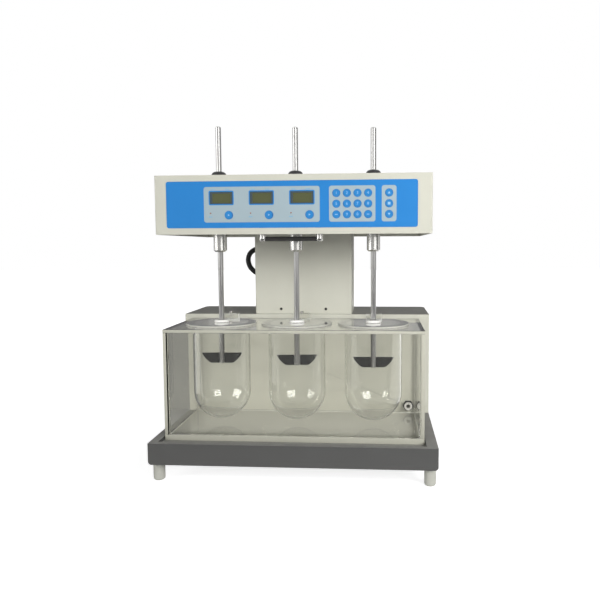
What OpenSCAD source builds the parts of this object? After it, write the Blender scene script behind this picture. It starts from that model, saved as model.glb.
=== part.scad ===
// Bench dissolution tester: a water bath with three stirred vessels under a lifting drive head.
// Frame: millimetres, +Z up, front towards -Y, origin on the bench under the middle of the base.

/* [Base tray and feet] */
// Width of the base tray
base_w = 500; // [490:1:540]
// Depth of the base tray
base_d = 385; // [380:1:430]
// Height of the base tray
base_h = 38; // [30:1:50]
// Sheet thickness of the base tray
base_wall = 3; // [2:0.5:4]
// Radius of the tray's lower long edges
base_edge_r = 6; // [3:0.5:9]
// Height of a foot
foot_h = 33; // [25:1:45]
// Diameter of a foot
foot_d = 20.5; // [18:0.5:28]
// Radius of a foot's lower edge
foot_edge_r = 5; // [2:0.5:7]
// Foot centre to the side of the tray
foot_inset_x = 12.5; // [12.5:0.5:30]
// Foot centre to the front or back of the tray
foot_inset_y = 20.5; // [14:0.5:30]

/* [Water bath] */
// Bath to the side of the base, on average
tank_side = 19; // [12:0.5:30]
// Depth of the bath
tank_d = 179; // [170:1:182]
// Height of the bath with its top plate
tank_h = 200; // [195:1:225]
// Thickness of the bath walls
tank_wall = 8; // [5:0.5:10]
// Thickness of the bath floor
tank_floor = 10; // [6:0.5:12]
// Thickness of the top plate
top_plate_t = 6; // [4:0.5:10]
// Depth of the recess that the bath stands in
tank_recess = 7; // [3:0.5:10]
// Gap between the bath and the recess
recess_gap = 2; // [1:0.5:4]
// Tray in front of the recess
front_lip = 11; // [6:0.5:30]
// Bath centre, sideways
tank_x = -2; // [-6:0.5:3]
// Base front to bath front
tank_setback = 41; // [36:1:48]

/* [Vessels and lids] */
// Room at each end of the row of vessels
row_end = 15; // [8:0.5:24]
// Middle vessel, sideways
row_x = -5; // [-8:0.5:1]
// Row of vessels behind the bath's middle
row_shift = -1.5; // [-4:0.5:2]
// Outer diameter of a vessel
vessel_od = 107; // [100:0.5:110]
// Wall of a vessel
vessel_wall = 2.5; // [1.5:0.25:4]
// Bath floor to the vessel's bottom
vessel_clear = 10; // [5:0.5:25]
// Lid beyond the vessel's flange
lid_overhang = 3; // [1:0.5:6]
// Thickness of a vessel's flange
flange_t = 3; // [2:0.5:5]
// Flange above the top plate, which has a seat for it
flange_proud = 0.2; // [0.1:0.1:1.5]
// Clearance round a vessel in the top plate
vessel_gap = 1; // [0.5:0.25:2]
// Gap between neighbouring lids
lid_gap = 12; // [6:0.5:18]
// Thickness of a lid
lid_t = 3; // [2:0.5:8]
// Height of the lid's locating ring
lid_ring_h = 3; // [2:0.5:6]
// Width of the lid's locating ring
lid_ring_w = 3; // [2:0.5:6]
// Clearance of the locating ring in the vessel
lid_ring_gap = 1.5; // [0.5:0.25:3]
// Diameter of a lid's hub
hub_d = 32; // [24:1:40]
// Hub below the lid
hub_h = 10; // [5:0.5:14]
// Hub above the lid
hub_rise = 1; // [0.5:0.5:6]
// Taper of the hub on each side
hub_taper = 5; // [0.5:0.5:6]
// Clearance round the shaft in the hub
hub_gap = 0.5; // [0.3:0.1:1]
// Width of a clamp block
block_w = 32; // [24:1:44]
// Depth of a clamp block
block_d = 13; // [10:0.5:16]
// Height of a clamp block
block_h = 12; // [10:0.5:20]
// Gap between lid and clamp block
block_gap = 1.5; // [0.5:0.25:3]
// Diameter of a clamp knob
knob_d = 7; // [6:0.5:10]
// Height of a clamp knob
knob_h = 4; // [2:0.5:8]
// Diameter of a clamp knob's screw
knob_screw_d = 4; // [3:0.5:5]

/* [Stirrers] */
// Diameter of a stirrer shaft
shaft_d = 10; // [8:0.5:12]
// Length of a stirrer from blade to tip
stirrer_len = 442; // [430:1:470]
// Chamfer of the shaft tip
tip_chamfer = 1.5; // [0.5:0.25:3]
// Lower chord of the blade
blade_bottom = 42; // [36:0.5:46]
// Height of the blade
blade_h = 19; // [16:0.5:22]
// Thickness of the blade
blade_t = 4; // [3:0.5:5]
// Radius of the blade's side arcs
blade_arc_r = 41.5; // [40:0.5:44]
// Blade above the vessel's inner bottom, as parked
blade_rest = 100; // [95:1:105]
// Difference in height between neighbouring stirrers, as parked
blade_step = 3; // [0:0.5:4]

/* [Head] */
// Width of the head
head_w = 480; // [475:1:520]
// Column's back to the head's back
head_back = 33; // [28:1:45]
// Height of the head
head_h = 102; // [100:1:120]
// Row of vessels to the head's front
head_front = 90; // [80:1:100]
// Sheet thickness of the head cover
head_wall = 2; // [1.5:0.25:3]
// Radius of the head's upright edges
head_edge_r = 3; // [2:0.5:6]
// Thickness of the chassis plate
chassis_t = 6; // [4:0.5:10]
// Head's lower edge to the chassis plate
chassis_recess = 14; // [10:0.5:18]
// Gap between chassis plate and cover
chassis_gap = 0.3; // [0.2:0.05:0.6]
// Diameter of a shaft cap
cap_d = 28; // [24:0.5:34]
// Height of a shaft cap
cap_h = 16; // [14:0.5:20]
// Dome radius of a shaft cap
cap_dome_r = 8; // [5:0.5:8]

/* [Front panel] */
// Front panel to the side of the head, on average
panel_side = 23; // [18:0.5:30]
// Height of the front panel
panel_h = 80; // [78:1:86]
// Thickness of the front panel
panel_t = 2.5; // [2:0.25:4]
// Front panel proud of the cover
panel_proud = 0.5; // [0.25:0.25:1]
// Corner radius of the front panel
panel_corner_r = 4; // [2:0.5:8]
// Front panel centre, sideways
panel_x = -2; // [-4:0.5:4]
// Width of a display window
display_w = 40; // [30:0.5:44]
// Height of a display window
display_h = 21; // [16:0.5:24]
// Spacing of the displays
display_pitch = 70; // [66:0.5:72]
// Middle display, sideways
display_x = -52; // [-54:0.5:-50]
// Displays above the panel's middle
display_rise = 11.5; // [10:0.5:14]
// Diameter of a number or arrow key
key_d = 11.5; // [9:0.5:13]
// Spacing of the number keys
key_pitch = 18; // [17.5:0.25:20]
// Middle of the number keys, sideways
keypad_x = 104; // [102:0.5:106]
// Column of arrow keys, sideways
arrow_x = 166.5; // [164:0.5:170]
// Diameter of a display key
display_key_d = 12.5; // [10:0.5:14]
// Display key beside the display's middle
display_key_dx = 13; // [8:0.5:16]
// Key proud of the panel
key_proud = 1.2; // [1:0.1:2]
// Travel of a key
key_travel = 0.5; // [0.3:0.05:0.8]
// Clearance round a key
key_gap = 0.3; // [0.2:0.05:0.5]

/* [Drive] */
// Diameter of a chuck
chuck_d = 24.5; // [22:0.5:28]
// Length of a chuck
chuck_len = 43; // [38:0.5:48]
// Chamfer at the chuck's lower end
chuck_chamfer = 3; // [1:0.5:5]
// Diameter of a spindle in its bearings
spindle_d = 20; // [18:0.5:21]
// Outer diameter of a bearing
bearing_od = 42; // [38:0.5:46]
// Width of a bearing
bearing_w = 12; // [8:0.5:14]
// Wall of a bearing housing
housing_wall = 5; // [3:0.5:7]
// Height of a bearing housing
housing_h = 48; // [40:0.5:49]
// Shoulder between the bearings
housing_shoulder = 3; // [2:0.5:4]
// Diameter of a spindle pulley
pulley_d = 50; // [44:1:56]
// Height of a pulley
pulley_h = 15; // [12:0.5:16]
// Diameter of the motor pulley
motor_pulley_d = 30; // [24:1:40]
// Diameter of the motor
motor_d = 60; // [50:1:66]
// Diameter of the motor shaft
motor_shaft_d = 8; // [6:0.5:10]
// Middle spindle to motor, sideways
motor_dx = 72; // [66:1:78]
// Row of vessels to motor, backwards
motor_dy = 90; // [80:1:100]
// Height of the belt
belt_h = 10; // [8:0.5:11]
// Thickness of the belt
belt_t = 2; // [1.5:0.25:3]

/* [Handle] */
// Overall length of the handle
handle_w = 113; // [100:1:130]
// Diameter of the grip bar
grip_d = 8; // [6:0.5:9]
// Diameter of a handle post
post_d = 12; // [11:0.5:15]
// Head's lower edge to the grip's axis
grip_drop = 8; // [6:0.5:16]
// Head's front to the grip's axis
grip_setback = 26; // [20:1:36]

/* [Lift column] */
// Width of the column
column_w = 198; // [190:1:206]
// Depth of the column
column_d = 108; // [104:1:114]
// Sheet thickness of the column
column_wall = 2; // [1.5:0.25:3]
// Radius of the column's upright edges
column_edge_r = 3; // [2:0.5:6]
// Rear housing to the head's lower edge
column_h = 159; // [150:1:200]
// Rear housing's front to the column
column_setback = 7; // [6.5:0.5:12]
// Width of the mast
mast_w = 120; // [110:1:130]
// Depth of the mast
mast_d = 60; // [54:1:64]
// Wall of the mast
mast_wall = 3; // [2:0.5:5]
// Length of the mast
mast_len = 290; // [280:1:300]
// Thickness of the mast's top flange
mast_flange_t = 6; // [4:0.5:8]
// Width of the mast's top flange beyond the mast
mast_flange_w = 12; // [8:0.5:14]
// Height of a mast guide
guide_h = 25; // [18:1:32]
// Clearance of the mast in its guides
guide_gap = 0.2; // [0.1:0.05:0.4]
// Diameter of the gas spring
spring_d = 22; // [18:0.5:28]
// Diameter of the gas spring's rod
spring_rod_d = 8; // [6:0.5:10]
// Spare length in the gas spring below its piston
spring_spare = 21; // [10:1:24]
// Height to which the head lifts
lift_travel = 180; // [150:1:180]
// Spacing of the column screws
screw_pitch = 92; // [80:1:110]
// Column screws above the rear housing
screw_rise = 10; // [8:0.5:16]
// Diameter of a column screw's hole
screw_hole_d = 4; // [3:0.5:6]

/* [Rear housing] */
// Height of the rear housing
rear_h = 201; // [197:1:220]
// Sheet thickness of the rear housing
rear_wall = 2; // [1.5:0.25:3]
// Depth of the front panel's folded lip
rear_lip = 5.5; // [4:0.5:6]
// Bath to rear housing
rear_gap = 1; // [0.5:0.25:2]
// Rear cover to the back of the base
rear_margin = 3.5; // [3.5:0.25:6]
// Radius of the cover's rear upright edges
rear_edge_r = 12; // [6:1:24]
// Bath's side wall to the circulation port
port_inset = 13; // [12:0.5:24]
// Circulation port above the bath floor
port_rise = 15; // [13:0.5:30]
// Outer diameter of the port sleeve
port_d = 16; // [14:0.5:20]
// Bore of the port sleeve
port_bore = 8; // [6:0.5:9]
// Diameter of the port nut across its corners
port_nut_d = 22; // [20:0.5:24]
// Diameter of the conduit
conduit_d = 11; // [9:0.5:12]
// Clearance round the conduit in its collars
conduit_gap = 0.3; // [0.2:0.05:0.6]
// Height of a conduit collar
collar_h = 8; // [5:0.5:12]
// Wall of a conduit collar
collar_wall = 4; // [2:0.5:6]
// Column's back to the conduit
conduit_standoff = 14.5; // [14:0.5:20]
// Power inlet to the side of the base
inlet_side = 80; // [60:1:110]
// Power inlet above the base
inlet_rise = 50; // [40:1:80]
// Width of the power inlet's flange
inlet_w = 64; // [60:1:72]
// Height of the power inlet's flange
inlet_h = 34; // [32:1:40]

/* [Circulation unit] */
// Width of the pump
pump_w = 76; // [60:1:90]
// Circulation port to the pump's outer side
pump_side = 24; // [14:1:30]
// Depth of the pump
pump_d = 52; // [40:1:60]
// Circulation port to the pump's top
pump_rise = 36; // [24:1:60]
// Diameter of the heater
heater_d = 52; // [40:1:56]
// Length of the heater beside the pump
heater_len = 70; // [50:1:85]

/* [Hidden] */
$fn = 96;
// Play of a turning or sliding shaft in its hole, on the radius
running_fit = 0.05;
// Overlap of a cutting shape past the face that it cuts
cut = 1;
// Gap between neighbouring sheets that are screwed together
sheet_gap = 0.2;
// Thickness of a bonded joint between two clear sheets
bond_line = 0.1;

// Bearing housing to pulley, pulley to spindle end, chassis plate to chuck
pulley_gap = 2;
spindle_end = 3;
chuck_gap = 2;

// Widths
tank_w = base_w - 2 * tank_side;
vessel_pitch = (tank_w - 2 * row_end) / 3;
lid_d = vessel_pitch - lid_gap;
flange_d = lid_d - 2 * lid_overhang;
panel_w = head_w - 2 * panel_side;

// Heights
base_top = foot_h + base_h;
tank_z = base_top - tank_recess;
plate_top = tank_z + tank_h;
lid_z = plate_top + flange_proud;
seat_z = lid_z - flange_t;
vessel_len = seat_z - tank_z - tank_floor - vessel_clear;
vessel_inner_z = seat_z - vessel_len + vessel_wall;
rear_top = base_top + rear_h;
head_z = rear_top + column_h;
head_top = head_z + head_h;
chassis_z = head_z + chassis_recess;
deck_z = chassis_z + chassis_t;
housing_top = deck_z + housing_h;
pulley_z = housing_top + pulley_gap;
spindle_top = pulley_z + pulley_h + spindle_end;
chuck_top = chassis_z - chuck_gap;
panel_z = head_z + head_h / 2;

// Places in plan
tank_y0 = -base_d / 2 + tank_setback;
tank_y1 = tank_y0 + tank_d;
row_y = (tank_y0 + tank_y1) / 2 + row_shift;
rear_y0 = tank_y1 + rear_gap;
rear_y1 = base_d / 2 - rear_margin;
column_front = rear_y0 + column_setback;
column_back = column_front + column_d;
column_y = (column_front + column_back) / 2;
head_y0 = row_y - head_front;
head_y1 = column_back + head_back;
head_d = head_y1 - head_y0;
motor_x = row_x + motor_dx;
motor_y = row_y + motor_dy;
panel_y0 = head_y0 - panel_proud;
panel_y1 = panel_y0 + panel_t;
port_x = tank_x + tank_w / 2 - tank_wall - port_inset;
port_z = tank_z + tank_floor + port_rise;
inlet_x = base_w / 2 - inlet_side;
inlet_z = base_top + inlet_rise;
conduit_r = conduit_d / 2;

// Key stack behind the panel
key_flange_t = 0.8;
key_flange_w = 0.9;
key_seat = 0.05;
key_stop_gap = 0.25;
board_y0 = panel_y1 + key_seat + key_flange_t + key_travel + key_stop_gap;
board_t = 1.6;
board_margin = 5;
board_rise = 1;
board_spacer_d = 6;

// Route of the conduit behind the column, from one collar up to the other: sideways as a share of half
// the column's width, upwards as a share of the height between the collars
ROUTE = [
    [0.354, 0.01], [0.343, 0.112], [0.273, 0.208], [0.111, 0.28], [-0.131, 0.323], [-0.434, 0.349],
    [-0.758, 0.372], [-1.04, 0.404], [-1.242, 0.4565], [-1.366, 0.536], [-1.409, 0.637], [-1.359, 0.731],
    [-1.223, 0.7885], [-1.02, 0.816], [-0.737, 0.824], [-0.434, 0.8235], [-0.151, 0.8255], [0.08, 0.834],
    [0.19, 0.8515], [0.277, 0.887], [0.333, 0.939], [0.354, 0.997]
];
conduit_end = 6;
conduit_y = column_back + conduit_standoff;
conduit_z0 = rear_top + collar_h;
conduit_z1 = chassis_z - collar_h;
conduit_x = route_x(ROUTE[0][0]);
CONDUIT = concat(
    [[conduit_x, conduit_y, rear_top - conduit_end]],
    [for (p = ROUTE) [route_x(p[0]), conduit_y, conduit_z0 + p[1] * (conduit_z1 - conduit_z0)]],
    [[conduit_x, conduit_y, chassis_z + conduit_end]]
);

SIDES = ["left", "middle", "right"];
ROWS = ["top", "mid", "low"];
ARROWS = ["key_up", "key_stop", "key_down"];
// Turn of each parked stirrer about its shaft, in degrees
STIRRER_TURN = [3, 6, 2];

function route_x(u) = row_x + u * column_w / 2;
function row_place(i) = row_x + (i - 1) * vessel_pitch;
function blade_z(i) = vessel_inner_z + blade_rest + (1 - i) * blade_step;
function key_row_z(r) = panel_z + (1 - r) * key_pitch;
function pad_x(c) = keypad_x + (c - 1.5) * key_pitch;
function display_place(i) = display_x + (i - 1) * display_pitch;
function pad_name(r, c) = str("key_", ROWS[r], "_", c + 1);

// Shared shapes

module round_rect(w, d, r) {
    square([w - 2 * r, d], center = true);
    square([w, d - 2 * r], center = true);
    for (x = [-1, 1], y = [-1, 1])
        translate([x * (w / 2 - r), y * (d / 2 - r)]) circle(r);
}

module round_box(w, d, h, r) {
    linear_extrude(h) round_rect(w, d, r);
}

// A bar along Y from y0 to y1, centred on x and z
module bar_y(x, z, r, y0, y1) {
    translate([x, y1, z]) rotate([90, 0, 0]) cylinder(r = r, h = y1 - y0);
}

// A box between two corners
module block(a, b) {
    translate(a) cube(b - a);
}

// Base

module base_profile() {
    half = base_w / 2;
    translate([-half, base_edge_r]) square([base_w, base_h - base_edge_r]);
    translate([-half + base_edge_r, 0]) square([base_w - 2 * base_edge_r, base_h]);
    for (s = [-1, 1]) translate([s * (half - base_edge_r), base_edge_r]) circle(base_edge_r);
}

module at_feet() {
    for (x = [-1, 1], y = [-1, 1])
        translate([x * (base_w / 2 - foot_inset_x), y * (base_d / 2 - foot_inset_y), 0]) children();
}

module tank_footprint(z0, z1) {
    block([tank_x - tank_w / 2, tank_y0, z0], [tank_x + tank_w / 2, tank_y1, z1]);
}

// Space that the bath stands in, open in front of it as far as the lip
module recess(grow, z0, z1) {
    side = tank_w / 2 + recess_gap + grow;
    block([tank_x - side, -base_d / 2 + front_lip - grow, z0],
          [tank_x + side, tank_y1 + recess_gap + grow, z1]);
}

module base_tray() {
    pan_z = tank_z - base_wall;
    color("dimgray") {
        difference() {
            translate([0, base_d / 2, foot_h]) rotate([90, 0, 0]) linear_extrude(base_d) base_profile();
            difference() {
                block([-base_w / 2 + base_wall, -base_d / 2 + base_wall, foot_h - cut],
                      [base_w / 2 - base_wall, base_d / 2 - base_wall, base_top - base_wall]);
                recess(base_wall, pan_z, base_top);
            }
            recess(0, tank_z, base_top + cut);
        }
        at_feet() translate([0, 0, foot_h]) cylinder(d = foot_d, h = pan_z - foot_h + base_wall);
    }
}

module foot() {
    r = foot_d / 2;
    rotate_extrude() {
        translate([0, foot_edge_r]) square([r, foot_h - foot_edge_r]);
        square([r - foot_edge_r, foot_h]);
        intersection() {
            translate([r - foot_edge_r, foot_edge_r]) circle(foot_edge_r);
            square([r, foot_h]);
        }
    }
}

module feet() {
    color("ivory") at_feet() foot();
}

// Water bath

// Five sheets bonded together: floor, two ends over the full depth, front and rear between them
module bath_tank() {
    x0 = tank_x - tank_w / 2;
    x1 = tank_x + tank_w / 2;
    wall_z = tank_z + tank_floor + bond_line;
    wall_top = plate_top - top_plate_t;
    long_x0 = x0 + tank_wall + bond_line;
    long_x1 = x1 - tank_wall - bond_line;
    color("lightcyan", 0.4) {
        tank_footprint(tank_z, tank_z + tank_floor);
        for (x = [x0, x1 - tank_wall]) block([x, tank_y0, wall_z], [x + tank_wall, tank_y1, wall_top]);
        block([long_x0, tank_y0, wall_z], [long_x1, tank_y0 + tank_wall, wall_top]);
        difference() {
            block([long_x0, tank_y1 - tank_wall, wall_z], [long_x1, tank_y1, wall_top]);
            bar_y(port_x, port_z, port_d / 2 - port_step + sheet_gap, tank_y1 - tank_wall - cut, tank_y1 + cut);
        }
    }
}

module at_row() {
    for (i = [0:2]) translate([row_place(i), row_y, 0]) children();
}

module bath_top_plate() {
    color("lightcyan", 0.4) difference() {
        tank_footprint(plate_top - top_plate_t, plate_top);
        at_row() {
            translate([0, 0, plate_top - top_plate_t - cut])
                cylinder(d = vessel_od + 2 * vessel_gap, h = top_plate_t + 2 * cut);
            translate([0, 0, seat_z]) cylinder(d = flange_d + 2 * vessel_gap, h = flange_t + cut);
        }
    }
}

// Half outline of a round-bottomed space of radius r, whose top edge is at height top
module vessel_outline(r, top) {
    centre_z = vessel_od / 2 - vessel_len;
    intersection() {
        translate([0, -vessel_len]) square([r, vessel_len + top]);
        union() {
            translate([0, centre_z]) circle(r);
            translate([0, centre_z]) square([r, top - centre_z]);
        }
    }
}

module vessel(i) {
    color("aliceblue", 0.4) translate([row_place(i), row_y, seat_z]) rotate_extrude() difference() {
        union() {
            vessel_outline(vessel_od / 2, flange_t);
            square([flange_d / 2, flange_t]);
        }
        vessel_outline(vessel_od / 2 - vessel_wall, flange_t + cut);
    }
}

module lid(i) {
    ring_r = vessel_od / 2 - vessel_wall - lid_ring_gap;
    color("azure", 0.5) translate([row_place(i), row_y, lid_z]) difference() {
        union() {
            cylinder(d = lid_d, h = lid_t);
            cylinder(d = hub_d, h = lid_t + hub_rise);
            translate([0, 0, -hub_h]) cylinder(d1 = hub_d - 2 * hub_taper, d2 = hub_d, h = hub_h);
            translate([0, 0, -lid_ring_h]) difference() {
                cylinder(r = ring_r, h = lid_ring_h);
                translate([0, 0, -cut]) cylinder(r = ring_r - lid_ring_w, h = lid_ring_h + cut);
            }
        }
        translate([0, 0, -hub_h - cut])
            cylinder(d = shaft_d + 2 * hub_gap, h = hub_h + lid_t + hub_rise + 2 * cut);
    }
}

module at_blocks() {
    at_row() translate([0, lid_d / 2 + block_gap + block_d / 2, plate_top]) children();
}

module clamp_blocks() {
    color("lightcyan", 0.6) at_blocks() difference() {
        translate([-block_w / 2, -block_d / 2, 0]) cube([block_w, block_d, block_h]);
        translate([0, 0, block_h / 2]) cylinder(d = knob_screw_d + 2 * running_fit, h = block_h);
    }
}

module clamp_knobs() {
    color("gainsboro") at_blocks() {
        translate([0, 0, block_h]) cylinder(d = knob_d, h = knob_h);
        translate([0, 0, block_h / 2]) cylinder(d = knob_screw_d, h = block_h / 2);
    }
}

// Circulation through the bath's rear wall

port_nut_t = 3;
port_ring_t = 5;
port_tail = 14;
port_step = 2;
port_wall_y = tank_y1 - tank_wall;
port_end_y = rear_y0 + port_tail;
port_y0 = port_wall_y - port_nut_t - port_ring_t;

module circulation_port() {
    color("white") difference() {
        union() {
            bar_y(port_x, port_z, port_d / 2, port_y0, port_wall_y - port_nut_t);
            bar_y(port_x, port_z, port_d / 2 - port_step, port_wall_y - port_nut_t - cut, port_end_y);
        }
        bar_y(port_x, port_z, port_bore / 2, port_y0 - cut, port_end_y + cut);
    }
}

module port_nut() {
    color("black") difference() {
        translate([port_x, port_wall_y, port_z]) rotate([90, 0, 0])
            cylinder(d = port_nut_d, h = port_nut_t, $fn = 6);
        bar_y(port_x, port_z, port_d / 2 - port_step + running_fit,
              port_wall_y - port_nut_t - cut, port_wall_y + cut);
    }
}

module circulation_heater() {
    pump_x1 = port_x + pump_side;
    pump_x0 = pump_x1 - pump_w;
    heater_r = heater_d / 2;
    color("slategray") {
        block([pump_x0, port_end_y, base_top], [pump_x1, port_end_y + pump_d, port_z + pump_rise]);
        translate([pump_x0 - heater_len, port_end_y + heater_r, base_top + heater_r]) rotate([0, 90, 0])
            cylinder(r = heater_r, h = heater_len + cut);
    }
}

// Rear housing

module rear_front_panel() {
    color("beige") difference() {
        union() {
            block([-base_w / 2, rear_y0, base_top], [base_w / 2, rear_y0 + rear_wall, rear_top]);
            block([-base_w / 2, rear_y0, rear_top - rear_wall], [base_w / 2, rear_y0 + rear_lip, rear_top]);
        }
        bar_y(port_x, port_z, port_d / 2 - port_step + sheet_gap, rear_y0 - cut, rear_y0 + rear_wall + cut);
    }
}

// Plan of the cover, drawn in by a margin on its sides and back
module cover_plan(margin) {
    y0 = rear_y0 + rear_wall + sheet_gap;
    y1 = rear_y1 - margin;
    half = base_w / 2 - margin;
    r = rear_edge_r - min(margin, rear_edge_r / 2);
    translate([-half, y0]) square([2 * half, y1 - r - y0]);
    translate([-half + r, y0]) square([2 * (half - r), y1 - y0]);
    for (s = [-1, 1]) translate([s * (half - r), y1 - r]) circle(r);
}

vent_n = 12;
vent_pitch = 9;
vent_size = [3, 50];
// Clearance round the mast where it passes through a sheet
mast_slot = 4;
slot_w = mast_w + 2 * mast_slot;
slot_d = mast_d + 2 * mast_slot;
// Inlet body inside its flange
inlet_lip = 3;
inlet_body_w = inlet_w - 2 * inlet_lip;
inlet_body_h = inlet_h - 2 * inlet_lip;

module rear_cover() {
    lip_y = rear_y0 + rear_lip + sheet_gap;
    body_w = inlet_body_w + 2 * sheet_gap;
    body_h = inlet_body_h + 2 * sheet_gap;
    color("gray") difference() {
        union() {
            difference() {
                translate([0, 0, base_top]) linear_extrude(rear_h) cover_plan(0);
                translate([0, 0, base_top - cut])
                    linear_extrude(rear_h + cut - rear_wall) cover_plan(rear_wall);
                block([-base_w / 2 - cut, rear_y0, rear_top - rear_wall - sheet_gap],
                      [base_w / 2 + cut, lip_y, rear_top + cut]);
                block([-base_w / 2 + rear_wall, rear_y0, base_top - cut],
                      [base_w / 2 - rear_wall, rear_y0 + rear_wall + 2 * sheet_gap, rear_top]);
            }
            translate([conduit_x, conduit_y, rear_top]) cylinder(r = conduit_r + collar_wall, h = collar_h);
        }
        translate([conduit_x, conduit_y, rear_top - rear_wall - cut])
            cylinder(r = conduit_r + conduit_gap, h = rear_wall + collar_h + 2 * cut);
        block([row_x - slot_w / 2, column_y - slot_d / 2, rear_top - rear_wall - cut],
              [row_x + slot_w / 2, column_y + slot_d / 2, rear_top + cut]);
        block([inlet_x - body_w / 2, rear_y1 - rear_wall - cut, inlet_z - body_h / 2],
              [inlet_x + body_w / 2, rear_y1 + cut, inlet_z + body_h / 2]);
        for (i = [0:vent_n - 1]) {
            x = -inlet_x + (i - (vent_n - 1) / 2) * vent_pitch;
            block([x - vent_size[0] / 2, rear_y1 - rear_wall - cut, inlet_z - vent_size[1] / 2],
                  [x + vent_size[0] / 2, rear_y1 + cut, inlet_z + vent_size[1] / 2]);
        }
    }
}

// Power inlet with its rocker switch

inlet_flange_t = 2;
inlet_depth = 26;
socket_w = 24;
socket_h = 17;
socket_depth = 17;
socket_r = 3;
pin_recess = 7;
pin_pitch = 7;
pin_w = 2;
pin_h = 4;
pin_step = 2;
rocker_w = 12;
rocker_h = 20;
rocker_depth = 9;
rocker_gap = 0.8;
rocker_pin_r = 1.5;
rocker_pin_out = 2;
rocker_sink = 5;
rocker_pocket = 15;
rocker_back = 3;
rocker_dish = 1.6;
rocker_taper = 1;
rocker_tilt = 8;
socket_dx = 9;
rocker_dx = -18;
inlet_y1 = rear_y1 + inlet_flange_t;
rocker_y = inlet_y1 - rocker_sink;

module power_inlet() {
    pocket_w = rocker_w + 2 * rocker_gap;
    pocket_h = rocker_h + 2 * rocker_gap;
    rocker_x = inlet_x + rocker_dx;
    color("black") {
        difference() {
            union() {
                translate([inlet_x, inlet_y1, inlet_z]) rotate([90, 0, 0])
                    round_box(inlet_w, inlet_h, inlet_flange_t, inlet_lip);
                block([inlet_x - inlet_body_w / 2, inlet_y1 - inlet_depth, inlet_z - inlet_body_h / 2],
                      [inlet_x + inlet_body_w / 2, inlet_y1 - cut, inlet_z + inlet_body_h / 2]);
            }
            translate([inlet_x + socket_dx, inlet_y1 + cut, inlet_z]) rotate([90, 0, 0])
                round_box(socket_w, socket_h, socket_depth + cut, socket_r);
            block([rocker_x - pocket_w / 2, inlet_y1 - rocker_pocket, inlet_z - pocket_h / 2],
                  [rocker_x + pocket_w / 2, inlet_y1 + cut, inlet_z + pocket_h / 2]);
            translate([rocker_x - pocket_w / 2 - rocker_pin_out, rocker_y, inlet_z]) rotate([0, 90, 0])
                cylinder(r = rocker_pin_r + running_fit, h = pocket_w + 2 * rocker_pin_out);
        }
        for (p = [-1, 0, 1]) {
            pin_x = inlet_x + socket_dx + p * pin_pitch;
            pin_z = inlet_z + (p == 0 ? pin_step : -pin_step);
            block([pin_x - pin_w / 2, inlet_y1 - socket_depth - cut, pin_z - pin_h / 2],
                  [pin_x + pin_w / 2, inlet_y1 - pin_recess, pin_z + pin_h / 2]);
        }
    }
}

module power_rocker() {
    half = rocker_h / 2;
    face = half - rocker_taper;
    back = half - 2 * rocker_taper;
    color("crimson") translate([inlet_x + rocker_dx, rocker_y, inlet_z]) rotate([-rocker_tilt, 0, 0]) {
        translate([rocker_w / 2, 0, 0]) rotate([0, -90, 0]) linear_extrude(rocker_w)
            polygon([[-face, rocker_sink], [-back, -rocker_back], [back, -rocker_back], [face, rocker_sink],
                     [0, rocker_sink - rocker_dish]]);
        translate([-rocker_w / 2 - rocker_pin_out, 0, 0]) rotate([0, 90, 0])
            cylinder(r = rocker_pin_r, h = rocker_w + 2 * rocker_pin_out);
    }
}

// Lift column

flange_z = chassis_z - mast_flange_t;
column_top_gap = 3;
column_top = chassis_z - column_top_gap;
column_flange_w = 10;
screw_z = rear_top + screw_rise;

module column_shell() {
    rim = column_wall + column_flange_w;
    color("beige") difference() {
        translate([row_x, column_y, rear_top])
            round_box(column_w, column_d, column_top - rear_top, column_edge_r);
        translate([row_x, column_y, rear_top + column_wall])
            linear_extrude(column_top)
            square([column_w - 2 * column_wall, column_d - 2 * column_wall], center = true);
        translate([row_x, column_y, rear_top - cut])
            linear_extrude(column_wall + 2 * cut)
            square([column_w - 2 * rim, column_d - 2 * rim], center = true);
        for (s = [-1, 1]) bar_y(row_x + s * screw_pitch / 2, screw_z, screw_hole_d / 2,
                                column_front - cut, column_front + column_wall + cut);
    }
}

guide_rise = 24;
guide_drop = 4;
guide_seat = 0.15;
guide_low_z = rear_top + guide_rise;
guide_high_z = flange_z - guide_h - guide_drop;

module mast_guides() {
    edge = column_wall + guide_seat;
    color("white") for (z = [guide_low_z, guide_high_z])
        translate([row_x, column_y, z]) linear_extrude(guide_h) difference() {
            square([column_w - 2 * edge, column_d - 2 * edge], center = true);
            square([mast_w + 2 * guide_gap, mast_d + 2 * guide_gap], center = true);
        }
}

spring_wall = 2;
spring_gland_h = 10;
spring_piston_h = 5;
spring_piston_gap = 0.3;
spring_top_gap = 3;
spring_stroke_h = lift_travel + spring_piston_h + spring_top_gap;
spring_len = 2 * spring_gland_h + spring_stroke_h + spring_spare;

module gas_spring_body() {
    color("black") translate([row_x, column_y, base_top]) difference() {
        cylinder(d = spring_d, h = spring_len);
        translate([0, 0, spring_gland_h])
            cylinder(d = spring_d - 2 * spring_wall, h = spring_len - 2 * spring_gland_h);
        translate([0, 0, spring_len / 2]) cylinder(d = spring_rod_d + 2 * running_fit, h = spring_len);
    }
}

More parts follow.
